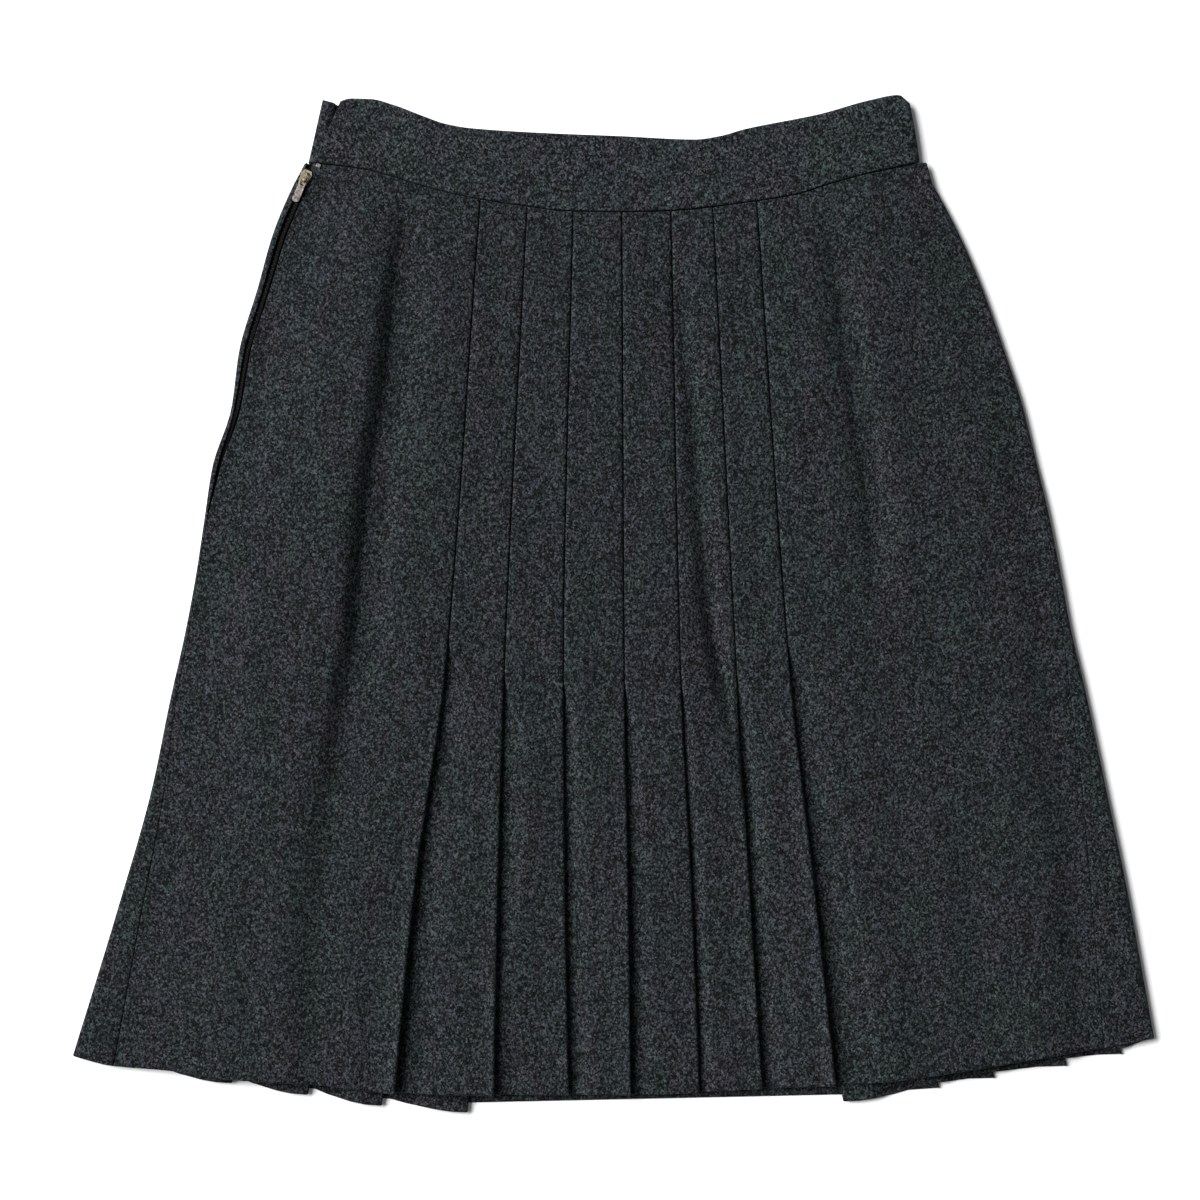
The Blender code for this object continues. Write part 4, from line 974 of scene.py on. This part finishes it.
def bumped(nodes, links, shader, height, strength, distance):
    """Gives a material fine relief from a pattern."""
    bump = nodes.new("ShaderNodeBump")
    set_inputs(bump, Strength=strength, Distance=distance)
    links.new(height, bump.inputs["Height"])
    links.new(bump.outputs["Normal"], shader.inputs["Normal"])


def flannel(name, tone=1.0):
    """Charcoal wool flannel: heathered patches, mixed light and dark fibres, and a soft nap."""
    made, nodes, links, shader = new_material(name)
    place = nodes.new("ShaderNodeTexCoord").outputs["Object"]
    patch = ranged(nodes, links, noise(nodes, links, place, HEATHER), PLUM_FROM, UNIT)
    second = ranged(nodes, links, noise(nodes, links, place, BLUE_HEATHER), BLUE_FROM, BLUE_TO)
    green_or_plum = blended(nodes, links, patch, FLANNEL_GREEN, FLANNEL_PLUM)
    colour = blended(nodes, links, second, green_or_plum, FLANNEL_BLUE)

    fibres = combined(nodes, links, "ADD", cells(nodes, links, place, COARSE_TUFTS),
                      cells(nodes, links, place, FINE_TUFTS))
    long_fibres = noise(nodes, links, place, LONG_FIBRES)
    clumps = noise(nodes, links, place, CLUMPS)
    spread = ranged(nodes, links, fibres, UNIT, FLECK_TO)
    fleck = combined(nodes, links, "POWER", spread, FLECK_POWER)
    streak = ranged(nodes, links, long_fibres, BODY, STREAK_TO)
    clump = ranged(nodes, links, clumps, BODY, CLUMP_TO)
    uneven = combined(nodes, links, "MULTIPLY", streak, clump)
    shade = combined(nodes, links, "MULTIPLY", fleck, uneven)
    shade = combined(nodes, links, "MULTIPLY", shade, tone)
    links.new(scaled_colour(nodes, links, colour, shade), shader.inputs["Base Color"])

    lengthwise = combined(nodes, links, "MULTIPLY", long_fibres, 0.6)
    relief = combined(nodes, links, "ADD", fibres, lengthwise)
    bumped(nodes, links, shader, relief, strength=0.35, distance=0.0003)
    links.new(ranged(nodes, links, clumps, BODY, NAP_ROUGHNESS), shader.inputs["Roughness"])
    set_inputs(shader, Specular_IOR_Level=0.12, Sheen_Weight=0.02, Sheen_Roughness=0.45,
               Sheen_Tint=(0.85, 0.92, 1.0, 1.0))
    return made


def tape_cloth():
    """Black woven zip tape with fine cross ribs; its black is darkened past a cloth's own black as
    painted shade for the zip's slot.
    """
    made, nodes, links, shader = new_material("zip_tape_weave_with_slot_shade")
    place = nodes.new("ShaderNodeTexCoord").outputs["Object"]
    wave = nodes.new("ShaderNodeTexWave")
    wave.bands_direction = "Y"
    set_inputs(wave, Scale=420.0, Distortion=0.6)
    links.new(place, wave.inputs["Vector"])
    ribs = ranged(nodes, links, wave.outputs["Fac"], UNIT, RIB_TO)
    threads = ranged(nodes, links, noise(nodes, links, place, THREADS), BODY, THREAD_TO)
    shade = combined(nodes, links, "MULTIPLY", ribs, threads)
    base = nodes.new("ShaderNodeRGB")
    base.outputs[0].default_value = TAPE_BLACK_WITH_SLOT_SHADE
    links.new(scaled_colour(nodes, links, base.outputs[0], shade), shader.inputs["Base Color"])
    bumped(nodes, links, shader, wave.outputs["Fac"], strength=0.5, distance=0.0002)
    set_inputs(shader, Roughness=0.95, Specular_IOR_Level=0.1)
    return made


def metal(name, bright, dull, roughness):
    """Worn metal: dull in patches, with fine scratches in its gloss."""
    made, nodes, links, shader = new_material(name)
    place = nodes.new("ShaderNodeTexCoord").outputs["Object"]
    stain = ranged(nodes, links, noise(nodes, links, place, STAIN), STAIN_FROM, UNIT)
    links.new(blended(nodes, links, stain, bright, dull), shader.inputs["Base Color"])
    scratch = noise(nodes, links, place, SCRATCH)
    gloss = (roughness * GLOSS_TO[0], roughness * GLOSS_TO[1])
    links.new(ranged(nodes, links, scratch, BODY, gloss), shader.inputs["Roughness"])
    set_inputs(shader, Metallic=1.0)
    bumped(nodes, links, shader, scratch, strength=0.12, distance=0.0001)
    return made


# ---------------- stage
FRAME_WIDTH = 0.675  # width of the picture on the skirt, in metres
VIEW_CENTRE = (-0.0076, 0.0034)
VIEW_HEIGHT = 0.008  # height that the width is taken at
LENS, SENSOR = 85.0, 36.0

SKY_TOP = 0.45  # how far up the studio has dimmed
HORIZON_LIGHT, OVERHEAD_LIGHT = 0.75, 0.14
FLOOR_REACH, FLOOR_DROP = 14.0, 0.0002  # in metres


def camera():
    data = bpy.data.cameras.new("camera")
    data.lens, data.sensor_width = LENS, SENSOR
    data.clip_end = 50.0
    made = added("camera", data)
    made.location = (*VIEW_CENTRE, FRAME_WIDTH * LENS / SENSOR + VIEW_HEIGHT)
    bpy.context.scene.camera = made


def area_light(name, azimuth, elevation, distance, size, power):
    """A soft light aimed at the skirt; azimuth is measured from +X towards +Y."""
    data = bpy.data.lights.new(name, "AREA")
    data.shape, data.size, data.energy = "DISK", size, power
    made = added(name, data)
    a, e = math.radians(azimuth), math.radians(elevation)
    towards = Vector((math.cos(a) * math.cos(e), math.sin(a) * math.cos(e), math.sin(e)))
    made.location = towards * distance
    made.rotation_mode = "QUATERNION"
    made.rotation_quaternion = towards.to_track_quat("Z", "Y")
    made.visible_camera = False


def world():
    """A pale studio: bright near the horizon, dimmer overhead."""
    made = bpy.data.worlds.new("studio")
    made.use_nodes = True
    nodes, links = made.node_tree.nodes, made.node_tree.links
    place = nodes.new("ShaderNodeTexCoord").outputs["Generated"]
    split = nodes.new("ShaderNodeSeparateXYZ")
    links.new(place, split.inputs["Vector"])
    glow = ranged(nodes, links, split.outputs["Z"], (0.0, SKY_TOP), (HORIZON_LIGHT, OVERHEAD_LIGHT))
    links.new(glow, nodes["Background"].inputs["Strength"])
    set_inputs(nodes["Background"], Color=(0.96, 0.98, 1.0, 1.0))
    bpy.context.scene.world = made


def floor():
    """A plain pale floor, a hair below the skirt."""
    mesh = bpy.data.meshes.new("floor")
    r = FLOOR_REACH
    mesh.from_pydata([(-r, -r, 0), (r, -r, 0), (r, r, 0), (-r, r, 0)], [], [(0, 1, 2, 3)])
    made = added("floor", mesh)
    made.location.z = -FLOOR_DROP
    paint, _, _, shader = new_material("floor_paint")
    set_inputs(shader, Base_Color=(0.93, 0.93, 0.93, 1.0), Roughness=0.9, Specular_IOR_Level=0.1)
    mesh.materials.append(paint)


def dress():
    """Builds the pieces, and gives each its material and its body."""
    wool = flannel("flannel_wool")
    band_wool = flannel("flannel_band", BAND_TONE)
    front, back, band = front_panel(), back_panel(), waistband()
    for piece, node, cloth in ((front, "front_panel", wool), (back, "back_panel", wool),
                               (band, "waistband", band_wool)):
        piece.data.materials.append(cloth)
        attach(piece, "skirt")
        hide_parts(node)
    steel = metal("steel_worn", *STEEL)
    brass = metal("brass_worn", *BRASS)
    dark = metal("teeth_dark", *DARK_METAL)
    weave = tape_cloth()
    top_end = tape_top()
    top_end.data.materials.append(weave)
    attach(top_end, "skirt")
    for piece, paint in ((zip_teeth(), dark), (zip_stop(), steel)):
        piece.data.materials.append(paint)
        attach(piece, "skirt")
    nodes = frame["nodes"]
    for node, paint in (("zip_tape", weave), ("zip_slider", brass), ("zip_pull", steel)):
        nodes[node].data.materials.clear()
        nodes[node].data.materials.append(paint)


camera()
world()
floor()
area_light("key", azimuth=156.0, elevation=38.0, distance=14.0, size=11.6, power=5300.0)
dress()

bpy.context.scene.view_settings.view_transform = "Standard"
bpy.context.scene.view_settings.look = "None"
